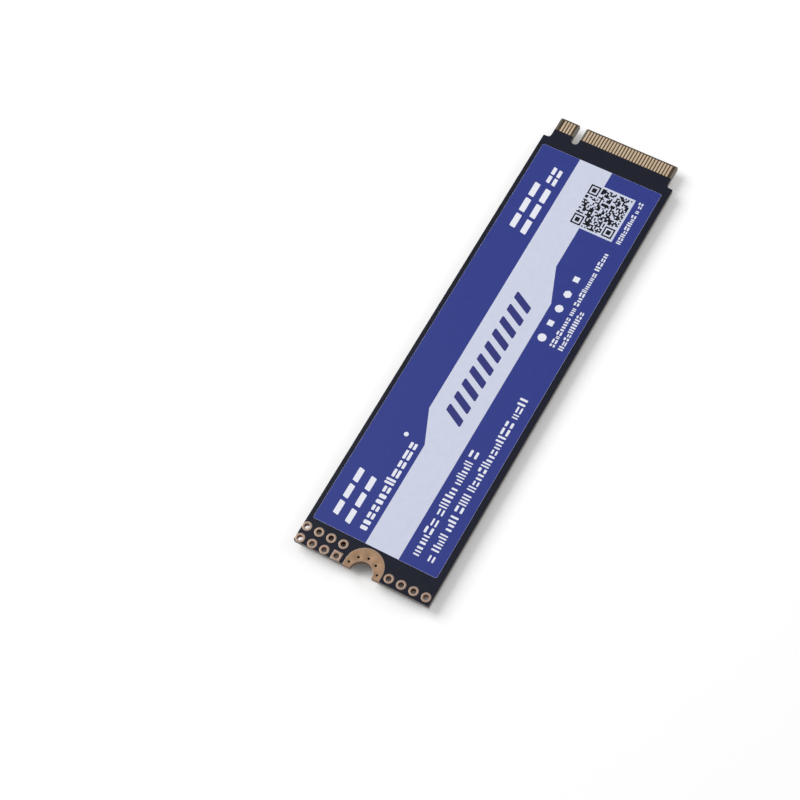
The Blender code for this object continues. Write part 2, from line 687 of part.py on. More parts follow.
def place_power_parts(card, chips, mould, powder):
    """Place the power parts in a column down the left side, away from the connector.

    Returns:
        The right side of the power chip, the right side of the column, the upper edge of
        the inductors and the lower edge of the column.
    """
    left = SIDE_MARGIN - CARD_WIDTH / 2
    run = soldered_run(LARGE_CHIP_LENGTH)
    y = SHOULDER_Y - FIRST_ROW_MARGIN - LARGE_CHIP_WIDTH / 2
    for i in range(INPUT_CAPACITOR_ROWS):
        for j, x in enumerate(row(2, run + CHIP_GAP, left + run + CHIP_GAP / 2)):
            place(f"input_capacitor_{2 * i + j + 1}", chips["large"], card, x, y, SEAT)
        y -= LARGE_CHIP_WIDTH + CHIP_GAP
    y -= (POWER_CHIP_SIZE - LARGE_CHIP_WIDTH) / 2
    chip_x = left + CHIP_GAP + POWER_CHIP_SIZE / 2
    place("power_management_chip", power_chip(mould), card, chip_x, y, SEAT)
    pitch = max(INDUCTOR_WIDTH, soldered_run(MEDIUM_CHIP_LENGTH)) + CHIP_GAP
    width = INDUCTOR_COUNT * pitch - CHIP_GAP
    places = row(INDUCTOR_COUNT, pitch, left + width / 2)
    y -= POWER_CHIP_SIZE / 2 + PART_GAP + INDUCTOR_LENGTH / 2
    inductor_edge = y + INDUCTOR_LENGTH / 2
    inductor = power_inductor(powder)
    for i, x in enumerate(places):
        place(f"power_inductor_{i + 1}", inductor, card, x, y, SEAT, QUARTER_TURN)
    y -= INDUCTOR_LENGTH / 2 + PART_GAP + MEDIUM_CHIP_WIDTH / 2
    for i in range(OUTPUT_CAPACITOR_ROWS):
        row_y = y - i * (MEDIUM_CHIP_WIDTH + CHIP_GAP)
        for j, x in enumerate(places):
            number = i * INDUCTOR_COUNT + j + 1
            place(f"output_capacitor_{number}", chips["medium"], card, x, row_y, SEAT)
    column_end = row_y - MEDIUM_CHIP_WIDTH / 2
    return chip_x + POWER_CHIP_SIZE / 2, left + width, inductor_edge, column_end


def place_controller_parts(card, chips, mould, column_side):
    """Place the controller right of the power column, with its resistors and link capacitors.

    Returns:
        The left side of the controller and its edge away from the connector.
    """
    run = soldered_run(SMALL_CHIP_LENGTH)
    resistor_x = column_side + CHIP_GAP + run / 2
    left = resistor_x + run / 2 + CHIP_GAP
    x = left + CONTROLLER_SIZE / 2
    link_y = SHOULDER_Y - FIRST_ROW_MARGIN - run / 2
    y = link_y - run / 2 - PART_GAP - CONTROLLER_SIZE / 2
    package = ball_package(
        "storage_controller",
        CONTROLLER_SIZE,
        CONTROLLER_SIZE,
        CONTROLLER_BODY_HEIGHT,
        CONTROLLER_BALL_PITCH,
        mould,
    )
    place("storage_controller", package, card, x, y, SEAT)
    for i, link_x in enumerate(row(LINK_CAPACITOR_COUNT, LINK_CAPACITOR_PITCH, x)):
        place(f"link_capacitor_{i + 1}", chips["small"], card, link_x, link_y, SEAT, QUARTER_TURN)
    near = y - CONTROLLER_SIZE / 2
    pitch = SMALL_CHIP_WIDTH + SMALL_CHIP_GAP
    for i, resistor_y in enumerate(row(RESISTOR_COUNT, pitch, near + RESISTOR_COUNT * pitch / 2)):
        place(f"setting_resistor_{i + 1}", chips["resistor"], card, resistor_x, resistor_y, SEAT)
    return left, near


def place_clock_parts(card, chips, lid_metal, mould, x, y):
    """Place the crystal's capacitors, the crystal and the load switch upwards from y."""
    pitch = SMALL_CHIP_WIDTH + SMALL_CHIP_GAP
    y += CHIP_GAP - SMALL_CHIP_WIDTH / 2 - SMALL_CHIP_GAP
    for i in range(CRYSTAL_CAPACITOR_COUNT):
        y += pitch
        place(f"crystal_capacitor_{i + 1}", chips["small"], card, x, y, SEAT)
    y += SMALL_CHIP_WIDTH / 2 + PART_GAP + CRYSTAL_LENGTH / 2
    place("clock_crystal", clock_crystal(lid_metal), card, x, y, SEAT, QUARTER_TURN)
    reach = SWITCH_BODY_WIDTH / 2 + SWITCH_LEAD_SHANK + SWITCH_LEAD_SLOPE + SWITCH_LEAD_FOOT
    y += CRYSTAL_LENGTH / 2 + PART_GAP + reach
    load_switch(card, mould).location = (x, y, SEAT)


def place_flash_parts(card, chips, mould, far):
    """Place the flash packages down the card, with rows of small capacitors around them."""
    size = (FLASH_WIDTH, FLASH_LENGTH, FLASH_BODY_HEIGHT)
    package = ball_package("flash_memory", *size, FLASH_BALL_PITCH, mould)
    pitch = FLASH_LENGTH + FLASH_ROW_GAP
    number = 0
    for i in range(FLASH_COUNT + 1):
        row_y = far - FLASH_ROW_GAP / 2 - i * pitch
        for x in row(DECOUPLING_PER_ROW, DECOUPLING_PITCH):
            number += 1
            place(f"decoupling_capacitor_{number:02d}", chips["small"], card, x, row_y, SEAT)
    for i in range(FLASH_COUNT):
        y = far - FLASH_ROW_GAP - FLASH_LENGTH / 2 - i * pitch
        place(f"flash_memory_{i + 1}", package, card, 0.0, y, SEAT)


def build():
    """Build the whole drive, each piece on the card's own frame."""
    clear_scene()
    card = bpy.data.objects.new("card_frame", None)
    bpy.context.collection.objects.link(card)
    card.location = (0.0, -CARD_LENGTH / 2, UNDERSIDE_HEIGHT)

    black_mask = make_material("black solder mask", (0.016, 0.018, 0.026), 0.35)
    label_blue = make_material("printed blue film", (0.048, 0.061, 0.284), 0.45)
    mould = make_material("moulded epoxy", (0.022, 0.022, 0.024), 0.6)
    powder = make_material("pressed iron powder", (0.07, 0.07, 0.075), 0.7)
    lid_metal = make_material("nickel lid", (0.55, 0.54, 0.50), 0.3, 1.0)
    ceramic = make_material("tan ceramic", (0.30, 0.20, 0.12), 0.5)
    film = make_material("dark resistor film", (0.03, 0.03, 0.035), 0.5)

    place("circuit_board", circuit_board(black_mask), card)
    place("product_label", product_label(label_blue), card, z=CARD_THICKNESS + ADHESIVE_GAP)
    chips = chip_meshes(ceramic, film)
    power_side, column_side, inductor_edge, column_end = place_power_parts(card, chips, mould, powder)
    controller_side, controller_end = place_controller_parts(card, chips, mould, column_side)
    clock_x = (power_side + controller_side) / 2
    place_clock_parts(card, chips, lid_metal, mould, clock_x, inductor_edge)
    place_flash_parts(card, chips, mould, min(column_end, controller_end))


build()
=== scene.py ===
"""Looks of a gumstick solid state drive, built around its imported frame.

Sizes are in millimetres in the part's own frame: X across the card, Y along it towards the
connector, Z up from the floor that the memory packages rest on. A mesh is turned into
metres when its piece is made.
"""

import json
import logging
import math
import random
from collections.abc import Callable, Iterable, Sequence
from dataclasses import dataclass, field, replace
from enum import Enum
from functools import cache

import bmesh
import bpy
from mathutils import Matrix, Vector
from mathutils.geometry import delaunay_2d_cdt


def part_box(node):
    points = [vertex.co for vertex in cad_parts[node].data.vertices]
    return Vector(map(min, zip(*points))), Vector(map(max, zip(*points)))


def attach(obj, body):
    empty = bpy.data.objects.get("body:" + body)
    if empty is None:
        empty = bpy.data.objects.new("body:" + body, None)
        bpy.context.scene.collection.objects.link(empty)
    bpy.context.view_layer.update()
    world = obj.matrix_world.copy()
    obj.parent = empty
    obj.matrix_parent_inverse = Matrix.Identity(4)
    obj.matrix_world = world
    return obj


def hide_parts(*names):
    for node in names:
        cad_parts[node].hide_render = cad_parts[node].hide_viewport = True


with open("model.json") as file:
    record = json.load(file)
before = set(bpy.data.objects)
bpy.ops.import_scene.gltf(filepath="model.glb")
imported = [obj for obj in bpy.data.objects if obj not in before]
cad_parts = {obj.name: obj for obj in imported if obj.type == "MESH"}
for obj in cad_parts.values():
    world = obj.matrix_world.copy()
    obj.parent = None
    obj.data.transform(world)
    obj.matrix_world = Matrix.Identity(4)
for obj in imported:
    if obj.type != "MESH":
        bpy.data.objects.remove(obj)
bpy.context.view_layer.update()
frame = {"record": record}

Point = tuple[float, float]
Place = tuple[float, float, float]
Loop = list[Point]
Colour = tuple[float, float, float]
Stretch = tuple[float, float, float]
Socket = bpy.types.NodeSocket
Outputs = bpy.types.NodeOutputs

MM = 0.001
BODY = "root"
QUARTER_TURN = math.radians(90)
SIDES = (-1, 1)
CORNERS = [(x, y) for x in SIDES for y in SIDES]
WHITE = (1.0, 1.0, 1.0)

# How finely curves are drawn: the turn between two points of an arc, the sides of a circle
# and the steps of a block's rounded end.
ARC_STEP = math.radians(9)
CIRCLE_SIDES = 40
END_STEPS = 3
END_TURNS = [QUARTER_TURN * i / END_STEPS for i in range(END_STEPS + 1)]

# Edges that turn less than the limit are shaded smooth. Sharper ones that are softened get
# a bevel of this many segments and this roundness.
SMOOTH_LIMIT = math.radians(35)
SOFT_SEGMENTS = 2
SOFT_PROFILE = 0.6

# Points this close count as one in a drawing, and are welded at a block's ends.
MERGE_DISTANCE = 0.00001
WELD_DISTANCE = 0.001

# A moved corner reaches no further than one over this times the distance of its sides.
MITRE_LIMIT = 0.5

# A face is a wall where its normal rises less than the first, and lies flat from the second.
UPRIGHT = 0.5
LEVEL = 0.95

LOWER_PARTS = [
    entry["node"]
    for entry in frame["record"]["subparts"]
    if entry["node"] not in ("circuit_board", "product_label")
]
LOG = logging.getLogger("drive")


class Face(Enum):
    """The two faces of the card, and the way each one looks."""

    UPPER = 1
    LOWER = -1


def rectangle(left: float, near: float, right: float, far: float) -> Loop:
    """Return the corners of a rectangle, counterclockwise."""
    return [(left, near), (right, near), (right, far), (left, far)]


def centred(x: float, y: float, width: float, length: float) -> Loop:
    """Return a rectangle about a centre."""
    return rectangle(x - width / 2, y - length / 2, x + width / 2, y + length / 2)


def turned(x: float, y: float, radius: float, turns: Iterable[float]) -> Loop:
    """Return the points at some turns about a centre."""
    return [(x + radius * math.cos(a), y + radius * math.sin(a)) for a in turns]


def circle(x: float, y: float, radius: float, sides: int = CIRCLE_SIDES) -> Loop:
    """Return a regular loop of points about a centre."""
    return turned(x, y, radius, [math.tau * (i + 0.5) / sides for i in range(sides)])


def arc(x: float, y: float, radius: float, start: float, end: float) -> Loop:
    """Return points along an arc, both ends included."""
    steps = max(2, math.ceil(abs(end - start) / ARC_STEP))
    return turned(x, y, radius, [start + (end - start) * i / steps for i in range(steps + 1)])


def rounded(corners: Sequence[tuple[float, float, float]]) -> Loop:
    """Return a closed loop whose corners are rounded.

    Args:
        corners: x, y and radius of each corner, in order.

    Returns:
        The loop, with an arc in the place of each corner that has a radius.
    """
    loop: Loop = []
    for i, (x, y, radius) in enumerate(corners):
        here = Vector((x, y))
        before = Vector(corners[i - 1][:2]) - here
        after = Vector(corners[(i + 1) % len(corners)][:2]) - here
        half = before.angle(after) / 2
        run = min(radius / math.tan(half), before.length / 2, after.length / 2)
        if run < MERGE_DISTANCE:
            loop.append((x, y))
            continue
        first = here + before.normalized() * run
        last = here + after.normalized() * run
        middle = (before.normalized() + after.normalized()).normalized()
        centre = here + middle * (run / math.cos(half))
        start = math.atan2(first.y - centre.y, first.x - centre.x)
        sweep = math.atan2(last.y - centre.y, last.x - centre.x) - start
        sweep = (sweep + math.pi) % math.tau - math.pi
        loop += arc(centre.x, centre.y, (first - centre).length, start, start + sweep)
    return loop


def eased(loop: Loop, radius: float) -> Loop:
    """Return a loop whose corners are all rounded alike."""
    return rounded([(x, y, radius) for x, y in loop])


def rounded_box(left: float, near: float, right: float, far: float, radius: float) -> Loop:
    """Return a rectangle with four equal rounded corners."""
    return eased(rectangle(left, near, right, far), radius)


def moved(loop: Loop, inward: float) -> Loop:
    """Return a counterclockwise loop with each side moved towards its inside.

    Args:
        loop: the corners, counterclockwise.
        inward: the distance, negative to grow the loop.

    Returns:
        A loop with as many corners.
    """
    result: Loop = []
    for i, corner in enumerate(loop):
        here = Vector(corner)
        along_in = (here - Vector(loop[i - 1])).normalized()
        along_out = (Vector(loop[(i + 1) % len(loop)]) - here).normalized()
        tangent = (along_in + along_out).normalized()
        normal = Vector((-tangent.y, tangent.x))
        reach = inward / max(MITRE_LIMIT, tangent.dot(along_out))
        result.append(tuple(here + normal * reach))
    return result


def ribbon(path: Sequence[Point], width: float) -> Loop:
    """Return the outline of a strip of even width along a bent path.

    Args:
        path: the points of the strip's middle line.
        width: the strip's width.

    Returns:
        The strip's outline, counterclockwise.
    """
    points = [Vector(p) for p in path]
    left: list[Point] = []
    right: list[Point] = []
    for i, point in enumerate(points):
        before = (point - points[max(0, i - 1)]).normalized()
        after = (points[min(len(points) - 1, i + 1)] - point).normalized()
        along = (before + after).normalized()
        across = Vector((-along.y, along.x)) * (width / 2 / along.dot(after if after.length else before))
        left.append(tuple(point + across))
        right.append(tuple(point - across))
    return right + list(reversed(left))


def evenly(count: int, pitch: float, centre: float = 0.0) -> list[float]:
    """Return evenly spaced places about a centre."""
    return [centre + (i - (count - 1) / 2) * pitch for i in range(count)]


@dataclass(frozen=True)
class Box:
    """The corners of a CAD node's box, in millimetres."""

    low: Vector
    high: Vector

    @classmethod
    def of(cls, node: str) -> "Box":
        """Return the box of a CAD node."""
        low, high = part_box(node)
        return cls(low / MM, high / MM)

    @property
    def centre(self) -> Vector:
        """Return the middle of the box."""
        return (self.low + self.high) / 2

    @property
    def size(self) -> Vector:
        """Return the lengths of the box's sides."""
        return self.high - self.low

    def plan(self, inset: float = 0.0) -> Loop:
        """Return the box as seen from above, set in by a distance."""
        low, high = self.low, self.high
        return rectangle(low.x + inset, low.y + inset, high.x - inset, high.y - inset)


@cache
def lower_boxes() -> dict[str, Box]:
    """Return the box of every part on the lower face, worked out once."""
    return {node: Box.of(node) for node in LOWER_PARTS}


def is_clear(x: float, y: float, margin: float, but: Sequence[str] = ()) -> bool:
    """Tell whether a place on the lower face lies clear of every part there.

    Args:
        x: the place across the card.
        y: the place along the card.
        margin: the space that it needs.
        but: parts that are allowed to be near.

    Returns:
        True where no part's box comes within the margin.
    """
    for node, box in lower_boxes().items():
        across = max(box.low.x - x, x - box.high.x)
        along = max(box.low.y - y, y - box.high.y)
        if node not in but and max(across, along) < margin:
            return False
    return True


class Form:
    """A mesh under construction, in millimetres, whose faces carry finish numbers."""

    def __init__(self) -> None:
        """Start with an empty mesh."""
        self.bm = bmesh.new()

    def loft(
        self, rings: Sequence[Sequence[Sequence[float]]], finish: int = 0
    ) -> list[bmesh.types.BMVert]:
        """Add a closed skin through rings of as many points each.

        Args:
            rings: the rings in order, each a list of points in space.
            finish: number of the finish on all its faces.

        Returns:
            The skin's points.
        """
        rows = [[self.bm.verts.new(point) for point in ring] for ring in rings]
        for corners in (rows[0], list(reversed(rows[-1]))):
            self.bm.faces.new(corners).material_index = finish
        for row, following in zip(rows, rows[1:]):
            self.join(row, following, finish)
        return [point for row in rows for point in row]

    def join(
        self, row: Sequence[bmesh.types.BMVert], following: Sequence[bmesh.types.BMVert], finish: int
    ) -> None:
        """Add the faces between two closed rows of as many points.

        Args:
            row: the first row.
            following: the row after it.
            finish: number of the finish on the faces.
        """
        for i in range(len(row)):
            j = (i + 1) % len(row)
            self.bm.faces.new((row[i], following[i], following[j], row[j])).material_index = finish

    def prism(
        self,
        loop: Loop,
        low: float,
        high: float,
        finish: int = 0,
        rim_low: float = 0.0,
        rim_high: float = 0.0,
    ) -> None:
        """Add an upright block with a plan outline and softened rims.

        Args:
            loop: the plan outline, counterclockwise.
            low: height of its lower face.
            high: height of its upper face.
            finish: number of the finish on all its faces.
            rim_low: width of the bevel around the lower face.
            rim_high: width of the bevel around the upper face.
        """
        levels = [(low, rim_low)] if rim_low else []
        levels += [(low + rim_low, 0.0), (high - rim_high, 0.0)]
        levels += [(high, rim_high)] if rim_high else []
        rings = [[(x, y, z) for x, y in (moved(loop, rim) if rim else loop)] for z, rim in levels]
        self.loft(rings, finish)

    def lathe(self, x: float, y: float, profile: Sequence[Point], sides: int, finish: int = 0) -> None:
        """Add a turned body about an upright axis, from a profile of radius and height."""
        rings = [[(px, py, z) for px, py in circle(x, y, radius, sides)] for radius, z in profile]
        self.loft(rings, finish)

    def tube(self, outer: Loop, inner: Loop, low: float, high: float, finish: int = 0) -> None:
        """Add an upright tube between two loops of as many points.

        Args:
            outer: the tube's outer loop.
            inner: its inner loop.
            low: height of its lower end.
            high: height of its upper end.
            finish: number of the finish on all its faces.
        """
        levels = ((outer, low), (outer, high), (inner, high), (inner, low))
        rows = [[self.bm.verts.new((x, y, z)) for x, y in loop] for loop, z in levels]
        for row, following in zip(rows, rows[1:] + rows[:1]):
            self.join(row, following, finish)

    def block(self, low: Sequence[float], high: Sequence[float], radius: float, finish: int = 0) -> None:
        """Add a box with all its edges rounded, lofted along X.

        Args:
            low: its lowest corner.
            high: its highest corner.
            radius: radius of its edges.
            finish: number of the finish on all its faces.
        """
        section = rounded_box(low[1], low[2], high[1], high[2], radius)
        stations = [(low[0] + radius * (1 - math.cos(a)), radius * (1 - math.sin(a))) for a in END_TURNS]
        rings = [[(x, y, z) for y, z in moved(section, inward)] for x, inward in stations]
        middle = low[0] + high[0]
        far = [[(middle - x, y, z) for x, y, z in ring] for ring in reversed(rings)]
        points = self.loft(rings + far, finish)
        bmesh.ops.remove_doubles(self.bm, verts=points, dist=WELD_DISTANCE)

    def sheet(
        self,
        outline: Loop,
        low: float,
        high: float,
        holes: Iterable[Loop] = (),
        regions: Sequence[tuple[int, Sequence[Loop]]] = (),
        only_regions: bool = False,
        wall_finish: int = 0,
    ) -> None:
        """Add a plate drawn from an outline less its holes, and split along region borders.

        Args:
            outline: the plate's outer loop.
            low: height of its lower face.
            high: height of its upper face.
            holes: loops that are cut out, and may cross the outline.
            regions: finish numbers and the loops that they cover. The last one wins.
            only_regions: leave out what no region covers.
            wall_finish: number of the finish on the upright walls.
        """
        marked = [(outline, "outline")] + [(hole, "hole") for hole in holes]
        marked += [(loop, i) for i, (_, loops) in enumerate(regions) for loop in loops]
        points: list[Vector] = []
        faces: list[list[int]] = []
        for loop, _ in marked:
            faces.append(list(range(len(points), len(points) + len(loop))))
            points += [Vector(p) for p in loop]
        places, _, drawn, _, _, origins = delaunay_2d_cdt(points, [], faces, 1, MERGE_DISTANCE)
        flat = bmesh.new()
        corners = [flat.verts.new((p.x, p.y, low)) for p in places]
        for face, sources in zip(drawn, origins):
            kinds = {marked[i][1] for i in sources}
            inside = [kind for kind in kinds if isinstance(kind, int)]
            if "outline" not in kinds or "hole" in kinds or (only_regions and not inside):
                continue
            finish = regions[max(inside)][0] if inside else 0
            flat.faces.new([corners[i] for i in face]).material_index = finish
        bmesh.ops.delete(flat, geom=[v for v in flat.verts if not v.link_faces], context="VERTS")
        raised = bmesh.ops.extrude_face_region(flat, geom=flat.faces[:])["geom"]
        raised = [v for v in raised if isinstance(v, bmesh.types.BMVert)]
        bmesh.ops.translate(flat, verts=raised, vec=(0.0, 0.0, high - low))
        bmesh.ops.recalc_face_normals(flat, faces=flat.faces)
        for face in flat.faces:
            if abs(face.normal.z) < UPRIGHT:
                face.material_index = wall_finish
        self.take(flat)

    def take(self, other: bmesh.types.BMesh) -> None:
        """Move another mesh's faces into this one.

        Args:
            other: the mesh, which is let go.
        """
        carrier = bpy.data.meshes.new("carrier")
        other.to_mesh(carrier)
        other.free()
        self.bm.from_mesh(carrier)
        bpy.data.meshes.remove(carrier)

    def soften(self, height: float, width: float) -> None:
        """Bevel the sharp edges that lie flat at a height.

        Args:
            height: the edges' height.
            width: the bevel's width.
        """
        self.bm.normal_update()
        rim = []
        for edge in self.bm.edges:
            level = all(abs(v.co.z - height) < MERGE_DISTANCE for v in edge.verts)
            if level and len(edge.link_faces) == 2 and edge.calc_face_angle() > SMOOTH_LIMIT:
                rim.append(edge)
        bmesh.ops.bevel(
            self.bm, geom=rim, offset=width, segments=SOFT_SEGMENTS, profile=SOFT_PROFILE, affect="EDGES"
        )

    def finish_where(self, finish: int, test: Callable[[bmesh.types.BMFace], bool]) -> None:
        """Give a finish to the faces that pass a test.

        Args:
            finish: number of the finish.
            test: tells for a face whether it takes the finish.
        """
        bmesh.ops.recalc_face_normals(self.bm, faces=self.bm.faces)
        for face in self.bm.faces:
            if test(face):
                face.material_index = finish

    def mesh(self, name: str, finishes: Sequence["Finish | FloorFinish"]) -> bpy.types.Mesh:
        """Return the mesh in metres, with its materials, and let the form go.

        Args:
            name: the mesh's name.
            finishes: the finishes that the faces' numbers stand for.

        Returns:
            The mesh.
        """
        bmesh.ops.recalc_face_normals(self.bm, faces=self.bm.faces)
        bmesh.ops.scale(self.bm, vec=(MM, MM, MM), verts=self.bm.verts)
        mesh = bpy.data.meshes.new(name)
        self.bm.to_mesh(mesh)
        self.bm.free()
        for finish in finishes:
            mesh.materials.append(finish.material())
        mesh.shade_smooth()
        mesh.set_sharp_from_angle(angle=SMOOTH_LIMIT)
        return mesh


def put_in_scene(name: str, data: bpy.types.ID) -> bpy.types.Object:
    """Make an object and link it to the scene.

    Args:
        name: the object's name.
        data: its mesh, lamp or camera.

    Returns:
        The new object.
    """
    made = bpy.data.objects.new(name, data)
    bpy.context.scene.collection.objects.link(made)
    return made


def add_piece(
    name: str,
    mesh: bpy.types.Mesh,
    nodes: Sequence[str] = (),
    place: Sequence[float] = (0.0, 0.0, 0.0),
    turn: float = 0.0,
) -> None:
    """Put a piece of the drive in the scene and tie it to the frame.

    Args:
        name: the piece's name.
        mesh: its mesh, in metres.
        nodes: the CAD nodes that it stands for.
        place: where its own origin lies, in millimetres.
        turn: its turn about its upright axis.
    """
    piece = put_in_scene(name, mesh)
    piece.location = Vector(place) * MM
    piece.rotation_euler = (0.0, 0.0, turn)
    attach(piece, BODY)
    if nodes:
        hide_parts(*nodes)
    LOG.info("%s: %d faces", name, len(mesh.polygons))


class Mixing(Enum):
    """What a Mix node mixes: its data type, its two inputs' numbers and its output's."""

    NUMBERS = ("FLOAT", 2, 3, 0)
    COLOURS = ("RGBA", 6, 7, 2)


class Graph:
    """Short calls for the nodes of one node tree."""

    def __init__(self, tree: bpy.types.NodeTree) -> None:
        """Work on a node tree."""
        self.tree = tree

    def add(
        self, kind: str, values: dict[str | int, object] | None = None, **settings: object
    ) -> bpy.types.Node:
        """Add a node.

        Args:
            kind: its type, without the ShaderNode in front.
            values: what its inputs hold, or the output sockets that feed them.
            settings: its own properties.

        Returns:
            The node.
        """
        node = self.tree.nodes.new("ShaderNode" + kind)
        for name, value in settings.items():
            setattr(node, name, value)
        for key, value in (values or {}).items():
            self.feed(node.inputs[key], value)
        return node

    def feed(self, socket: Socket, value: object) -> None:
        """Set an input, or link the output that feeds it.

        Args:
            socket: the input.
            value: an output socket, or the value itself. A colour may leave out its alpha.
        """
        if isinstance(value, Socket):
            self.tree.links.new(value, socket)
        elif isinstance(value, tuple) and len(value) == 3 and socket.type == "RGBA":
            socket.default_value = (*value, 1.0)
        else:
            socket.default_value = value

    def place(self) -> Socket:
        """Return the place on the piece, in its own frame."""
        return self.add("TexCoord").outputs["Object"]

    def stretched(self, scale: Socket) -> Socket:
        """Return the place, scaled along each axis."""
        return self.add("VectorMath", {0: self.place(), 1: scale}, operation="MULTIPLY").outputs[0]

    def axes(self, place: Socket) -> Outputs:
        """Return the three parts of a place."""
        return self.add("SeparateXYZ", {0: place}).outputs

    def noise(self, place: Socket, scale: float, detail: float) -> Socket:
        """Return a noise whose scale is given per millimetre."""
        values = {"Vector": place, "Scale": scale / MM, "Detail": detail}
        return self.add("TexNoise", values).outputs["Fac"]

    def math(self, operation: str, *values: object) -> Socket:
        """Add a maths node and return its result."""
        return self.add("Math", dict(enumerate(values)), operation=operation).outputs[0]

    def ramp(self, value: object, low: object, high: float) -> Socket:
        """Return a value brought from low and high to 0 and 1, and held there."""
        node = self.add("MapRange", {"Value": value, "From Min": low, "From Max": high})
        return node.outputs["Result"]

    def mix(self, kind: Mixing, share: object, first: object, second: object) -> Socket:
        """Return a value or a colour between two others.

        Args:
            kind: whether numbers or colours are mixed.
            share: the second one's share.
            first: what stands alone at a share of 0.
            second: what stands alone at a share of 1.

        Returns:
            The mixed value or colour.
        """
        data_type, one, other, result = kind.value
        node = self.add("Mix", {0: share, one: first, other: second}, data_type=data_type)
        return node.outputs[result]


@dataclass(frozen=True)
class Effect:
    """A shader node group that several finishes share."""

    name: str
    inputs: dict[str, str]
    outputs: dict[str, str]

    def tree(self) -> bpy.types.NodeTree:
        """Return the group, built on its first use.

        Returns:
            The group's node tree.
        """
        if self.name in bpy.data.node_groups:
            return bpy.data.node_groups[self.name]
        tree = bpy.data.node_groups.new(self.name, "ShaderNodeTree")
        for direction, sockets in (("INPUT", self.inputs), ("OUTPUT", self.outputs)):
            for name, kind in sockets.items():
                tree.interface.new_socket(name, in_out=direction, socket_type="NodeSocket" + kind)
        graph = Graph(tree)
        source = tree.nodes.new("NodeGroupInput")
        sink = tree.nodes.new("NodeGroupOutput")
        for name, socket in self.wire(graph, source.outputs).items():
            graph.feed(sink.inputs[name], socket)
        return tree

    def wire(self, graph: Graph, given: Outputs) -> dict[str, Socket]:
        """Add the group's nodes and return what feeds each output."""
        raise NotImplementedError

    def use(self, graph: Graph, **values: object) -> Outputs:
        """Add the group to a material with its own values.

        Args:
            graph: the material's nodes.
            values: what the group's inputs hold, with _ for each space in their names.

        Returns:
            The group's outputs.
        """
        node = graph.tree.nodes.new("ShaderNodeGroup")
        node.node_tree = self.tree()
        for name, value in values.items():
            graph.feed(node.inputs[name.replace("_", " ")], value)
        return node.outputs


@dataclass(frozen=True)
class Grain(Effect):
    """Uneven colour, gloss and height from two sizes of noise."""

    coarse_scale: float = 1.0
    coarse_detail: float = 2.0
    fine_scale: float = 6.0
    fine_detail: float = 3.0
    noise_low: float = 0.3
    noise_high: float = 0.7
    middle: float = 0.5

    def wire(self, graph: Graph, given: Outputs) -> dict[str, Socket]:
        """Mix a coarse and a fine noise and spread them over colour, gloss and height.

        Args:
            graph: the group's nodes.
            given: the group's inputs.

        Returns:
            What feeds each output.
        """
        place = graph.stretched(given["Scale"])
        coarse = graph.noise(place, self.coarse_scale, self.coarse_detail)
        fine = graph.noise(place, self.fine_scale, self.fine_detail)
        both = graph.mix(Mixing.NUMBERS, given["Fineness"], coarse, fine)
        share = graph.ramp(both, self.noise_low, self.noise_high)
        about_zero = graph.math("SUBTRACT", share, self.middle)
        gloss = graph.math("MULTIPLY_ADD", about_zero, given["Spread"], given["Roughness"])
        colour = graph.mix(Mixing.COLOURS, share, given["Colour"], given["Second Colour"])
        return {"Colour": colour, "Roughness": gloss, "Height": share}


class Weave(Effect):
    """The faint basket weave of the glass cloth that lies under a smooth film."""

    def wire(self, graph: Graph, given: Outputs) -> dict[str, Socket]:
        """Cross two sets of waves, one along each side of the card.

        Args:
            graph: the group's nodes.
            given: the group's inputs.

        Returns:
            What feeds each output.
        """
        values = {0: graph.place(), "Scale": math.tau / MM}
        axes = graph.axes(graph.add("VectorMath", values, operation="SCALE").outputs[0])
        across = graph.math("SINE", graph.math("DIVIDE", axes["X"], given["Pitch"]))
        along = graph.math("SINE", graph.math("DIVIDE", axes["Y"], given["Pitch"]))
        return {"Height": graph.ramp(graph.math("MULTIPLY", across, along), -1.0, 1.0)}


@dataclass(frozen=True)
class Scratches(Effect):
    """Sparse thin lines, drawn out along one direction."""

    scale: float = 1.0
    detail: float = 4.0
    peak: float = 0.75

    def wire(self, graph: Graph, given: Outputs) -> dict[str, Socket]:
        """Stretch a noise and keep only its narrow peaks."""
        noise = graph.noise(graph.stretched(given["Scale"]), self.scale, self.detail)
        return {"Mask": graph.ramp(noise, given["Threshold"], self.peak)}


GRAIN = Grain(
    "uneven grain",
    {
        "Colour": "Color",
        "Second Colour": "Color",
        "Scale": "Vector",
        "Fineness": "Float",
        "Roughness": "Float",
        "Spread": "Float",
    },
    {"Colour": "Color", "Roughness": "Float", "Height": "Float"},
)
WEAVE = Weave("glass cloth weave", {"Pitch": "Float"}, {"Height": "Float"})
SCRATCHES = Scratches("fine scratches", {"Scale": "Vector", "Threshold": "Float"}, {"Mask": "Float"})


def new_material(name: str) -> tuple[bpy.types.Material, Graph, bpy.types.NodeInputs]:
    """Make a node material.

    Args:
        name: the material's name.

    Returns:
        The material, its nodes and the inputs of its shader.
    """
    material = bpy.data.materials.new(name)
    material.use_nodes = True
    tree = material.node_tree
    return material, Graph(tree), tree.nodes["Principled BSDF"].inputs


@dataclass(frozen=True)
class Surface:
    """What changes over a finish: its colour, its roughness and its height."""

    colour: Socket
    roughness: Socket
    height: Socket


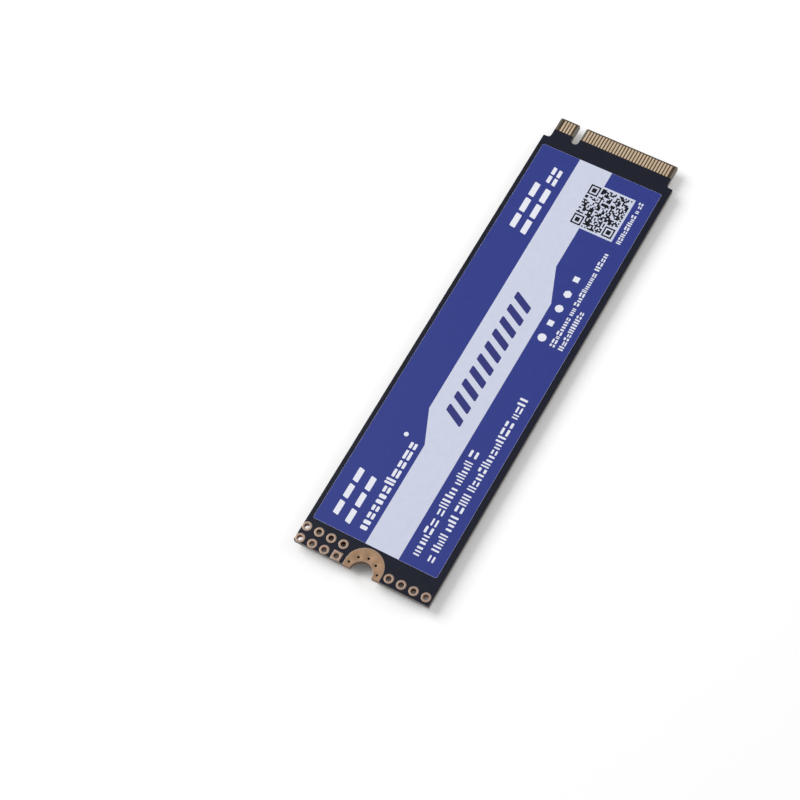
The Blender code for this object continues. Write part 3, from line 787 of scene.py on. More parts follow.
@dataclass(frozen=True)
class Finish:
    """One surface of the drive, with its colours and its grain."""

    name: str
    colour: Colour
    second: Colour
    roughness: float
    metallic: float = 0.0
    spread: float = 0.12
    scale: Stretch = (1.0, 1.0, 1.0)
    fineness: float = 0.5
    relief: float = 0.002
    specular: float = 0.5

    def material(self) -> bpy.types.Material:
        """Return the material, built on its first use.

        Returns:
            The material.
        """
        if self.name in bpy.data.materials:
            return bpy.data.materials[self.name]
        material, graph, shader = new_material(self.name)
        shader["Metallic"].default_value = self.metallic
        shader["Specular IOR Level"].default_value = self.specular
        grain = GRAIN.use(
            graph,
            Colour=self.colour,
            Second_Colour=self.second,
            Scale=self.scale,
            Fineness=self.fineness,
            Roughness=self.roughness,
            Spread=self.spread,
        )
        surface = self.dress(graph, Surface(grain["Colour"], grain["Roughness"], grain["Height"]))
        bump = graph.add("Bump", {"Height": surface.height, "Distance": self.relief * MM, "Strength": 1.0})
        graph.feed(shader["Base Color"], surface.colour)
        graph.feed(shader["Roughness"], surface.roughness)
        graph.feed(shader["Normal"], bump.outputs["Normal"])
        return material

    def dress(self, graph: Graph, surface: Surface) -> Surface:
        """Return the surface as the grain gives it."""
        return surface


@dataclass(frozen=True)
class WovenFinish(Finish):
    """A film or laminate over glass cloth."""

    pitch: float = 0.45
    weave: float = 0.35

    def dress(self, graph: Graph, surface: Surface) -> Surface:
        """Return the surface with the cloth's weave added to its height."""
        weave = WEAVE.use(graph, Pitch=self.pitch)["Height"]
        return replace(surface, height=graph.math("MULTIPLY_ADD", weave, self.weave, surface.height))


@dataclass(frozen=True)
class ScratchedFinish(Finish):
    """A surface that has been slid against or wiped."""

    scratch_scale: Stretch = (9.0, 0.35, 1.0)
    threshold: float = 0.62
    tint_share: float = 0.25
    tint_gain: float = 1.35
    tint_lift: float = 0.03
    extra_roughness: float = 0.12

    def dress(self, graph: Graph, surface: Surface) -> Surface:
        """Lighten, roughen and sink the surface along the scratches.

        Args:
            graph: the material's nodes.
            surface: the surface without scratches.

        Returns:
            The scratched surface.
        """
        mask = SCRATCHES.use(graph, Scale=self.scratch_scale, Threshold=self.threshold)["Mask"]
        lighter = tuple(min(1.0, c * self.tint_gain + self.tint_lift) for c in self.colour)
        share = graph.math("MULTIPLY", mask, self.tint_share)
        return Surface(
            graph.mix(Mixing.COLOURS, share, surface.colour, lighter),
            graph.math("MULTIPLY_ADD", mask, self.extra_roughness, surface.roughness),
            graph.math("SUBTRACT", surface.height, mask),
        )


@dataclass(frozen=True)
class LayeredFinish(Finish):
    """The cut edge of a laminate, where its glass layers show as lines."""

    layer: float = 0.11
    line: Colour = (0.11, 0.085, 0.06)
    line_start: float = 0.2
    line_full: float = 0.95
    line_share: float = 0.35

    def dress(self, graph: Graph, surface: Surface) -> Surface:
        """Draw a darker line at each layer, wavering with the grain.

        Args:
            graph: the material's nodes.
            surface: the surface without lines.

        Returns:
            The lined surface.
        """
        rise = graph.axes(graph.place())["Z"]
        turns = graph.math("MULTIPLY_ADD", rise, math.tau / (self.layer * MM), surface.height)
        wave = graph.ramp(graph.math("SINE", turns), self.line_start, self.line_full)
        share = graph.math("MULTIPLY", wave, self.line_share)
        return replace(
            surface,
            colour=graph.mix(Mixing.COLOURS, share, surface.colour, self.line),
            height=graph.math("ADD", surface.height, wave),
        )


class Palette:
    """Every finish of the drive."""

    mask = WovenFinish(
        "solder mask", (0.0035, 0.005, 0.013), (0.0055, 0.007, 0.017), 0.36, relief=0.0012, specular=0.13
    )
    laminate = WovenFinish(
        "bare laminate", (0.034, 0.022, 0.012), (0.052, 0.036, 0.020), 0.5, weave=1.0, specular=0.2
    )
    pale_laminate = WovenFinish(
        "clear laminate rim", (0.095, 0.078, 0.057), (0.135, 0.114, 0.088), 0.45, weave=1.0
    )
    edge = LayeredFinish(
        "routed laminate edge", (0.165, 0.14, 0.125), (0.24, 0.21, 0.19), 0.7, scale=(2.0, 2.0, 2.0)
    )
    gold = ScratchedFinish(
        "contact gold", (0.465, 0.358, 0.245), (0.545, 0.433, 0.310), 0.30,
        metallic=1.0, scale=(2.0, 0.4, 1.0),
    )
    # The contact gold darkened to brown for the fingers' sides and bevels: a painted shade between the
    # fingers.
    finger_side_painted_shade = Finish(
        "contact side painted shade", (0.17, 0.10, 0.05), (0.23, 0.14, 0.075), 0.5, metallic=1.0, spread=0.2
    )
    plating = Finish(
        "immersion gold", (0.215, 0.158, 0.122), (0.245, 0.18, 0.145), 0.45,
        metallic=1.0, spread=0.2, scale=(2.0, 2.0, 2.0), fineness=0.8, relief=0.003,
    )
    land = Finish(
        "worn land gold", (0.197, 0.126, 0.077), (0.224, 0.148, 0.094), 0.52,
        metallic=1.0, spread=0.15, scale=(2.5, 2.5, 2.5), fineness=1.0,
    )
    # Plated hole and via walls, coloured far darker than their plating: a painted shade inside the holes.
    barrel_painted_shade = Finish(
        "hole wall gold with painted shade", (0.15, 0.050, 0.018), (0.21, 0.080, 0.030), 0.5,
        metallic=1.0, spread=0.2, scale=(2.0, 2.0, 2.0), relief=0.004,
    )
    via = Finish(
        "via wall painted shade", (0.035, 0.016, 0.006), (0.055, 0.026, 0.010), 0.6,
        metallic=1.0, spread=0.2, scale=(3.0, 3.0, 3.0), relief=0.003,
    )
    cut_film = Finish(
        "cut label edge", (0.17, 0.175, 0.43), (0.20, 0.205, 0.48), 0.55, fineness=0.8, specular=0.25
    )
    film = Finish(
        "pale label film", (0.565, 0.60, 0.735), (0.60, 0.635, 0.765), 0.5,
        fineness=0.3, relief=0.0006, specular=0.25,
    )
    blue = Finish(
        "blue label ink", (0.0145, 0.027, 0.198), (0.0205, 0.034, 0.222), 0.5,
        fineness=0.6, relief=0.0008, specular=0.25,
    )
    white = Finish("white print", (0.74, 0.76, 0.84), (0.78, 0.80, 0.87), 0.5, relief=0.0006, specular=0.25)
    deep_blue = Finish(
        "dark blue print", (0.016, 0.020, 0.15), (0.022, 0.027, 0.175), 0.5, relief=0.0006, specular=0.25
    )
    black = Finish(
        "black print", (0.005, 0.005, 0.009), (0.008, 0.008, 0.013), 0.5, relief=0.0006, specular=0.08
    )
    epoxy = Finish(
        "moulding compound", (0.012, 0.012, 0.013), (0.024, 0.024, 0.026), 0.62,
        scale=(3.0, 3.0, 3.0), fineness=0.8, relief=0.006,
    )
    laser = Finish("laser mark", (0.10, 0.10, 0.10), (0.14, 0.14, 0.14), 0.75, fineness=0.9, relief=0.003)
    substrate = LayeredFinish(
        "package substrate", (0.030, 0.045, 0.022), (0.045, 0.060, 0.030), 0.5, layer=0.08
    )
    solder = Finish(
        "bright solder", (0.62, 0.62, 0.63), (0.74, 0.74, 0.74), 0.24,
        metallic=1.0, spread=0.2, scale=(3.0, 3.0, 3.0), relief=0.006,
    )
    tin = Finish(
        "tinned end", (0.52, 0.52, 0.52), (0.66, 0.66, 0.65), 0.40,
        metallic=1.0, scale=(4.0, 4.0, 4.0), fineness=0.8, relief=0.004,
    )
    ceramic = Finish(
        "tan ceramic", (0.27, 0.165, 0.09), (0.36, 0.235, 0.135), 0.45,
        scale=(4.0, 4.0, 4.0), fineness=0.7, relief=0.003,
    )
    alumina = Finish("alumina", (0.62, 0.61, 0.57), (0.72, 0.71, 0.67), 0.5, relief=0.003)
    resistor = Finish("resistor glaze", (0.010, 0.010, 0.012), (0.018, 0.018, 0.020), 0.3, relief=0.003)
    powder = Finish(
        "pressed iron powder", (0.045, 0.045, 0.048), (0.10, 0.10, 0.105), 0.68,
        scale=(3.0, 3.0, 3.0), fineness=0.9, relief=0.010,
    )
    tray = Finish("dark ceramic tray", (0.045, 0.032, 0.026), (0.07, 0.05, 0.04), 0.55, relief=0.004)
    lid = ScratchedFinish(
        "plated lid", (0.50, 0.48, 0.43), (0.60, 0.58, 0.52), 0.28,
        metallic=1.0, scratch_scale=(0.5, 8.0, 1.0),
    )
    silk = Finish("white legend ink", (0.66, 0.66, 0.64), (0.74, 0.74, 0.72), 0.6, fineness=0.8, relief=0.003)


@dataclass
class CardShape:
    """The outline of the card, its connector tongue and its drilled end."""

    corner: float = 0.15
    shoulder: float = 1.075
    tongue_length: float = 4.0
    tongue_corner: float = 0.20
    relief: float = 0.50
    bevel_length: float = 0.20
    bevel_depth: float = 0.15
    key_width: float = 1.20
    key_depth: float = 3.50
    key_offset: float = 6.125
    seat_radius: float = 1.75
    land_radius: float = 2.97
    land_reach: float = 3.91
    wall_plating: float = 0.03
    via_circle: float = 2.40
    via_radius: float = 0.20
    via_count: int = 5
    via_step: float = math.radians(36)
    via_sides: int = 20
    hole_pitch: float = 2.0
    hole_radius: float = 0.41
    hole_sides: int = 32
    hole_columns: int = 4
    hole_rows: int = 2
    grid_inset: Point = (0.70, 0.67)
    row_inset: Point = (1.0, 1.08)
    pad_radius: float = 0.735
    finger_pitch: float = 0.50
    finger_width: float = 0.35
    finger_length: float = 2.05
    finger_margin: float = 0.30
    finger_corner: float = 0.04
    finger_tuck: float = 0.02
    finger_rows: dict[Face, int] = field(default_factory=lambda: {Face.UPPER: 37, Face.LOWER: 38})
    box: Box = field(default_factory=lambda: Box.of("circuit_board"))

    @property
    def end(self) -> float:
        """Return where the card's screw end lies."""
        return self.box.low.y

    @property
    def tip(self) -> float:
        """Return where the connector's tip lies."""
        return self.box.high.y

    @property
    def side(self) -> float:
        """Return how far the card's long sides lie from its centreline."""
        return self.box.high.x

    @property
    def tongue(self) -> float:
        """Return how far the tongue's sides lie from the card's centreline."""
        return self.side - self.shoulder

    @property
    def key(self) -> Point:
        """Return where the key notch's left and right sides lie."""
        left = -self.key_offset - self.key_width / 2
        return left, left + self.key_width

    @property
    def mask_line(self) -> float:
        """Return where the solder mask ends and the contacts begin."""
        return self.tip - self.finger_margin - self.finger_length

    def seat_edge(self, recess: float) -> Loop:
        """Return the end edge from left to right over the half hole.

        Args:
            recess: how far the edge is set back where plating covers it.

        Returns:
            The open run of points between the two sides of the land.
        """
        if not recess:
            return arc(0.0, self.end, self.seat_radius, math.pi, 0.0)
        radius = self.seat_radius + recess
        rise = math.asin(recess / radius)
        level = self.end + recess
        over = arc(0.0, self.end, radius, math.pi - rise, rise)
        left = [(-self.land_radius, self.end), (-self.land_radius, level)]
        return left + over + [(self.land_radius, level), (self.land_radius, self.end)]

    def outline(self, recess: float = 0.0) -> Loop:
        """Return the card's outline, counterclockwise.

        Args:
            recess: how far the edges that carry plating are set back.

        Returns:
            The closed outline.
        """
        shoulder_y = self.tip - self.tongue_length
        key_left, key_right = self.key
        key_bottom = self.tip - self.key_depth
        corners = [
            (self.side, self.end, self.corner),
            (self.side, shoulder_y, self.corner),
            (self.tongue, shoulder_y, self.relief),
            (self.tongue, self.tip, self.tongue_corner),
            (key_right, self.tip, self.tongue_corner),
            (key_right, key_bottom, self.key_width / 2),
            (key_left, key_bottom, self.key_width / 2),
            (key_left, self.tip, self.tongue_corner),
            (-self.tongue, self.tip, self.tongue_corner),
            (-self.tongue, shoulder_y, self.relief),
            (-self.side, shoulder_y, self.corner),
            (-self.side, self.end, self.corner),
        ]
        return rounded(corners) + self.seat_edge(recess)

    def fingers(self, face: Face) -> list[Loop]:
        """Return the contact fingers of one face, left out beside the key notch.

        Args:
            face: the face that carries them.

        Returns:
            The fingers' outlines.
        """
        clear = self.key_width / 2 + self.finger_width
        near, far = self.mask_line - self.finger_tuck, self.tip - self.finger_margin
        half = self.finger_width / 2
        return [
            rounded_box(x - half, near, x + half, far, self.finger_corner)
            for x in evenly(self.finger_rows[face], self.finger_pitch)
            if abs(x + self.key_offset) > clear
        ]

    def holes(self) -> list[Point]:
        """Return the centres of the test holes. The square pad's hole comes first.

        Returns:
            The grid of holes left of the seat, then the row of holes right of it.
        """
        left, near = -self.side + self.grid_inset[0], self.end + self.grid_inset[1]
        right, row = self.side - self.row_inset[0], self.end + self.row_inset[1]
        pitch, columns = self.hole_pitch, range(self.hole_columns)
        steps = [(i, j) for j in range(self.hole_rows) for i in reversed(columns)]
        grid = [(left + i * pitch, near + j * pitch) for i, j in steps]
        return grid + [(right - i * pitch, row) for i in columns]

    def vias(self) -> list[Point]:
        """Return the centres of the land's vias."""
        return turned(0.0, self.end, self.via_circle, evenly(self.via_count, self.via_step, QUARTER_TURN))

    def pads(self, growth: float = 0.0) -> list[Loop]:
        """Return the pads and the land.

        Args:
            growth: how far they are grown.

        Returns:
            The square pad, the round pads and last the land, which reaches past the card's end.
        """
        square, *rest = self.holes()
        side = 2 * (self.pad_radius + growth)
        radius = self.land_radius + growth
        head = arc(0.0, self.end + self.land_reach - self.land_radius, radius, 0.0, math.pi)
        land = [(radius, self.end - radius)] + head + [(-radius, self.end - radius)]
        return [centred(*square, side, side), *(circle(x, y, side / 2) for x, y in rest), land]

    def drills(self, growth: float = 0.0) -> list[Loop]:
        """Return every drilled hole, grown by the thickness of its plating."""
        holes = [circle(x, y, self.hole_radius + growth, self.hole_sides) for x, y in self.holes()]
        return holes + [circle(x, y, self.via_radius + growth, self.via_sides) for x, y in self.vias()]


@dataclass
class CircuitBoard:
    """The card: laminate, solder mask, gold and covered vias."""

    shape: CardShape
    mask_thickness: float = 0.025
    copper_thickness: float = 0.045
    mask_clearance: float = 0.06
    pale_rim: float = 0.30
    pad_soft: float = 0.010
    finger_rim: float = 0.03
    # The land's outer rim and the ring around the seat keep the brighter plating, a painted highlight along
    # these edges.
    highlight_rim: float = 0.09
    highlight_rim_sides: int = 80
    cap_profile: tuple[Point, ...] = ((0.24, 0.0), (0.19, 0.007), (0.11, 0.007), (0.06, 0.002))
    cap_sides: int = 16
    tip_caps: tuple[Point, ...] = (
        (5.6, 36.0), (7.5, 35.1), (3.4, 35.0), (-3.2, 35.6), (0.4, 35.9), (-8.9, 35.2), (9.6, 35.9)
    )
    end_caps: tuple[float, ...] = (4.6, 6.1, 8.3)
    end_cap_rise: float = 3.2
    lower_seed: int = 7
    lower_tries: int = 260
    lower_reach: float = 9.9
    lower_span: Point = (-33.5, 35.0)
    lower_margin: float = 0.65
    slot: str = "solder_mask"
    gold_slot: str = "gold_plating"

    def __post_init__(self) -> None:
        """Work out the laminate's two levels from the frame."""
        self.low = self.shape.box.low.z + self.copper_thickness
        self.high = self.shape.box.high.z - self.copper_thickness

    def level(self, face: Face, rise: float) -> float:
        """Return a height that lies a rise out from the laminate on one face."""
        return self.high + rise if face is Face.UPPER else self.low - rise

    def span(self, face: Face, rise: float, start: float = 0.0) -> tuple[float, float]:
        """Return the lower and the upper height of a layer on one face."""
        low, high = sorted((self.level(face, start), self.level(face, rise)))
        return low, high

    def build(self) -> None:
        """Build every piece of the card."""
        self.build_laminate()
        for face in Face:
            self.build_mask(face)
            self.build_fingers(face)
            self.build_pads(face)
        self.build_barrels()
        self.build_edge_plating()
        self.build_via_caps()

    def build_laminate(self) -> None:
        """Make the glass laminate with its holes and its bevelled tip."""
        shape = self.shape
        finishes = (Palette.laminate, Palette.pale_laminate, Palette.edge)
        bare, pale, cut = range(len(finishes))
        bevel_y = shape.tip - shape.bevel_length
        far = shape.tip + shape.side
        key_left, key_right = shape.key
        rims = [
            rectangle(-shape.side, shape.mask_line, -shape.tongue + self.pale_rim, far),
            rectangle(key_left - self.pale_rim, shape.mask_line, key_right + self.pale_rim, far),
            rectangle(shape.tongue - self.pale_rim, shape.mask_line, shape.side, far),
        ]
        tip = rectangle(-shape.side, bevel_y, shape.side, far)
        outline, drills = shape.outline(shape.wall_plating), shape.drills(shape.wall_plating)
        form = Form()
        form.sheet(outline, self.low, self.high, drills, [(bare, [tip]), (pale, rims)], wall_finish=cut)
        middle = (self.low + self.high) / 2
        for vert in form.bm.verts:
            drop = shape.bevel_depth * max(0.0, (vert.co.y - bevel_y) / shape.bevel_length)
            vert.co.z += -drop if vert.co.z > middle else drop
        mesh = form.mesh("laminate_core", finishes)
        add_piece("laminate_core", mesh, ["circuit_board"])

    def build_mask(self, face: Face) -> None:
        """Lay the solder mask on one face, open around the pads and the contacts.

        Args:
            face: the face.
        """
        shape = self.shape
        masked = rectangle(-2 * shape.side, 2 * shape.end, 2 * shape.side, shape.mask_line)
        openings = shape.pads(self.mask_clearance)
        low, high = self.span(face, self.mask_thickness)
        form = Form()
        form.sheet(shape.outline(), low, high, openings, [(0, [masked])], only_regions=True)
        name = f"solder_mask_{face.name.lower()}"
        add_piece(name, form.mesh(name, [Palette.mask]))

    def build_fingers(self, face: Face) -> None:
        """Plate the contact fingers of one face, with a painted shade on their sides and bevels.

        Args:
            face: the face.
        """
        finishes = (Palette.gold, Palette.finger_side_painted_shade)
        top, side = range(len(finishes))
        low, high = self.span(face, self.copper_thickness)
        rims = {"rim_high" if face is Face.UPPER else "rim_low": self.finger_rim}
        form = Form()
        for loop in self.shape.fingers(face):
            form.prism(loop, low, high, top, **rims)
        # Sides and bevels take the darker copy of the gold, which paints shade into the gaps between the
        # fingers.
        form.finish_where(side, lambda made: made.normal.z * face.value < LEVEL)
        name = f"contact_fingers_{face.name.lower()}"
        add_piece(name, form.mesh(name, finishes))

    def build_pads(self, face: Face) -> None:
        """Plate the pads and the screw land of one face, cut off by the card's edges, with a painted
        highlight along the land's rims.

        Args:
            face: the face.
        """
        shape = self.shape
        finishes = (Palette.plating, Palette.land)
        bright, dull = range(len(finishes))
        worn_land = shape.pads(-self.highlight_rim)[-1]
        seat = circle(0.0, shape.end, shape.seat_radius + self.highlight_rim, self.highlight_rim_sides)
        # The dull worn gold fills the land's middle; the brighter plating at its rims is a painted highlight.
        regions = [(bright, shape.pads()), (dull, [worn_land]), (bright, [seat])]
        low, high = self.span(face, self.copper_thickness)
        form = Form()
        form.sheet(shape.outline(), low, high, shape.drills(), regions, only_regions=True)
        form.soften(self.level(face, self.copper_thickness), self.pad_soft)
        name = f"plated_pads_{face.name.lower()}"
        add_piece(name, form.mesh(name, finishes))

    def build_barrels(self) -> None:
        """Line every drilled hole with its plated barrel, coloured dark as a painted shade inside the hole.
        """
        shape = self.shape
        finishes = (Palette.barrel_painted_shade, Palette.via)
        test_hole, via = range(len(finishes))
        tests = len(shape.holes())
        form = Form()
        for i, (outer, inner) in enumerate(zip(shape.drills(shape.wall_plating), shape.drills())):
            form.tube(outer, inner, self.low, self.high, test_hole if i < tests else via)
        add_piece("hole_barrels", form.mesh("hole_barrels", finishes))

    def build_edge_plating(self) -> None:
        """Plate the half hole's wall and the end edge beside it."""
        shape = self.shape
        reach = shape.land_radius
        outer = [(-reach, shape.end), *shape.seat_edge(0.0), (reach, shape.end)]
        inner = shape.seat_edge(shape.wall_plating)[1:-1]
        form = Form()
        form.sheet(outer + list(reversed(inner)), self.low, self.high)
        add_piece("edge_plating", form.mesh("edge_plating", [Palette.land]))

    def build_via_caps(self) -> None:
        """Raise the small covered vias that show through the mask."""
        rng = random.Random(self.lower_seed)
        upper = [*self.tip_caps, *((x, self.shape.end + self.end_cap_rise) for x in self.end_caps)]
        reach = self.lower_reach
        tries = [(rng.uniform(-reach, reach), rng.uniform(*self.lower_span)) for _ in range(self.lower_tries)]
        lower = [place for place in tries if is_clear(*place, self.lower_margin)]
        form = Form()
        for face, places in ((Face.UPPER, upper), (Face.LOWER, lower)):
            profile = [(r, self.level(face, self.mask_thickness + rise)) for r, rise in self.cap_profile]
            for x, y in places:
                form.lathe(x, y, profile, self.cap_sides)
        add_piece("covered_vias", form.mesh("covered_vias", [Palette.mask]))


@dataclass
class CoveredTraces:
    """The copper lines that show through the mask on the lower face."""

    board: CircuitBoard
    rise: float = 0.006
    links: int = 8
    link_width: float = 0.14
    link_tuck: float = 0.1
    link_jog: float = 0.5
    link_tail: float = 1.2
    bus_lines: int = 9
    bus_width: float = 0.10
    bus_tuck: float = 0.3
    bus_run: float = 0.5
    bus_rise: float = 0.05
    chip_offset: float = 1.2
    chip_pitch: float = 0.36
    memory_offset: float = 4.35
    memory_pitch: float = 0.26

    def build(self) -> None:
        """Raise the lines of the connector and those between the controller and the memory."""
        start = self.board.mask_thickness
        low, high = self.board.span(Face.LOWER, start + self.rise, start)
        form = Form()
        for path in self.link_paths():
            form.prism(ribbon(path, self.link_width), low, high)
        for path in self.bus_paths():
            form.prism(ribbon(path, self.bus_width), low, high)
        add_piece("covered_traces", form.mesh("covered_traces", [Palette.mask]))

    def link_paths(self) -> list[Loop]:
        """Return the lines at both ends of each link capacitor.

        Returns:
            The lines' paths: one jogs to the nearest finger, one leads a little way inwards.
        """
        shape = self.board.shape
        offset = shape.finger_pitch / 2
        paths: list[Loop] = []
        for i in range(1, self.links + 1):
            box = Box.of(f"link_capacitor_{i}")
            x = box.centre.x
            pin = round((x - offset) / shape.finger_pitch) * shape.finger_pitch + offset
            jog = box.high.y + self.link_jog
            start, tail = box.high.y - self.link_tuck, box.low.y + self.link_tuck
            paths.append([(x, start), (x, jog), (pin, jog + abs(pin - x)), (pin, shape.mask_line)])
            paths.append([(x, tail), (x, box.low.y - self.link_tail)])
        return paths

    def bus_paths(self) -> list[Loop]:
        """Return the two bundles of lines from the controller to the first memory package.

        Returns:
            The lines' paths.
        """
        chip = Box.of("storage_controller")
        memory = Box.of("flash_memory_1")
        top, bottom = chip.low.y + self.bus_tuck, memory.high.y - self.bus_tuck
        paths: list[Loop] = []
        for side in SIDES:
            for i in range(self.bus_lines):
                start = chip.centre.x + side * (self.chip_offset + i * self.chip_pitch)
                finish = memory.centre.x + side * (self.memory_offset + i * self.memory_pitch)
                bend = bottom + self.bus_run + i * self.bus_rise
                paths.append([(start, top), (start, top - self.bus_run), (finish, bend), (finish, bottom)])
        return paths


class Ink(Enum):
    """The kinds of print on the label, its bare film and its cut edge."""

    NONE = Palette.film
    CUT = Palette.cut_film
    BLUE = Palette.blue
    WHITE = Palette.white
    DEEP_BLUE = Palette.deep_blue
    BLACK = Palette.black


@dataclass(frozen=True)
class PrintArea:
    """A stretch of print, whose marks stand with their feet on its right side."""

    left: float
    near: float
    right: float
    far: float

    @property
    def rise(self) -> float:
        """Return how tall the marks are."""
        return self.right - self.left

    @property
    def length(self) -> float:
        """Return how far the area runs along the card."""
        return self.far - self.near


@dataclass(frozen=True)
class MarkRow(PrintArea):
    """A row of plain marks of two bars each, grouped as words. Widths and gaps are shares of its rise."""

    words: int = 1
    bar: float = 0.37
    gap: float = 0.22
    widths: Point = (0.50, 0.92)
    word_gap: float = 1.6
    tall_odds: float = 0.45
    tall: float = 0.88
    short: float = 0.64
    upright_odds: float = 0.5
    bar_corner: float = 0.3

    def loops(self, rng: random.Random) -> list[Loop]:
        """Return the row's bars.

        Args:
            rng: the source of the marks' widths, heights and directions.

        Returns:
            The bars' outlines.
        """
        gap = self.rise * self.gap
        widths: list[float] = []
        total = 0.0
        while total < self.length:
            width = self.rise * rng.uniform(*self.widths)
            widths.append(width)
            total += width + gap
        breaks = set(rng.sample(range(1, len(widths)), self.words - 1)) if self.words > 1 else set()
        squeeze = self.length / (total + (self.words - 1) * self.word_gap * gap - gap)
        y = self.near
        loops: list[Loop] = []
        for i, width in enumerate(widths):
            y += self.word_gap * gap * squeeze if i in breaks else 0.0
            tall = self.rise * (self.tall if rng.random() < self.tall_odds else self.short)
            far = y + width * squeeze
            loops += self.mark(self.right - tall, y, far, rng.random() < self.upright_odds)
            y = far + gap * squeeze
        return loops

    def mark(self, head: float, near: float, far: float, upright: bool) -> list[Loop]:
        """Return the two equal bars of one mark.

        Args:
            head: where the mark's head lies.
            near: where the mark starts.
            far: where it ends.
            upright: whether the bars stand from the head to the foot.

        Returns:
            The bars' outlines.
        """
        if upright:
            thick = (far - near) * self.bar
            spans = [(head, y, self.right, y + thick) for y in (near, far - thick)]
        else:
            thick = (self.right - head) * self.bar
            spans = [(x, near, x + thick, far) for x in (head, self.right - thick)]
        return [rounded_box(*span, thick * self.bar_corner) for span in spans]


@dataclass(frozen=True)
class BlockRow(PrintArea):
    """A row of equal leaning blocks, each split into bars that run along the card."""

    count: int = 1
    lean: float = 0.0
    gap: float = 0.0
    bars: int = 1
    bar_gap: float = 0.5
    corner: float = 0.15

    def loops(self) -> list[Loop]:
        """Return the outlines of the blocks' bars.

        Returns:
            The outlines, block after block.
        """
        width = (self.length - self.lean - (self.count - 1) * self.gap) / self.count
        deep = self.rise / (self.bars + (self.bars - 1) * self.bar_gap)
        loops: list[Loop] = []
        for i in range(self.count):
            y = self.near + i * (width + self.gap)
            for row in range(self.bars):
                head = self.left + row * deep * (1 + self.bar_gap)
                foot = head + deep
                high, low = (y + self.lean * (self.right - x) / self.rise for x in (head, foot))
                corners = [(head, high), (foot, low), (foot, low + width), (head, high + width)]
                loops.append(eased(corners, min(deep, width) * self.corner))
        return loops


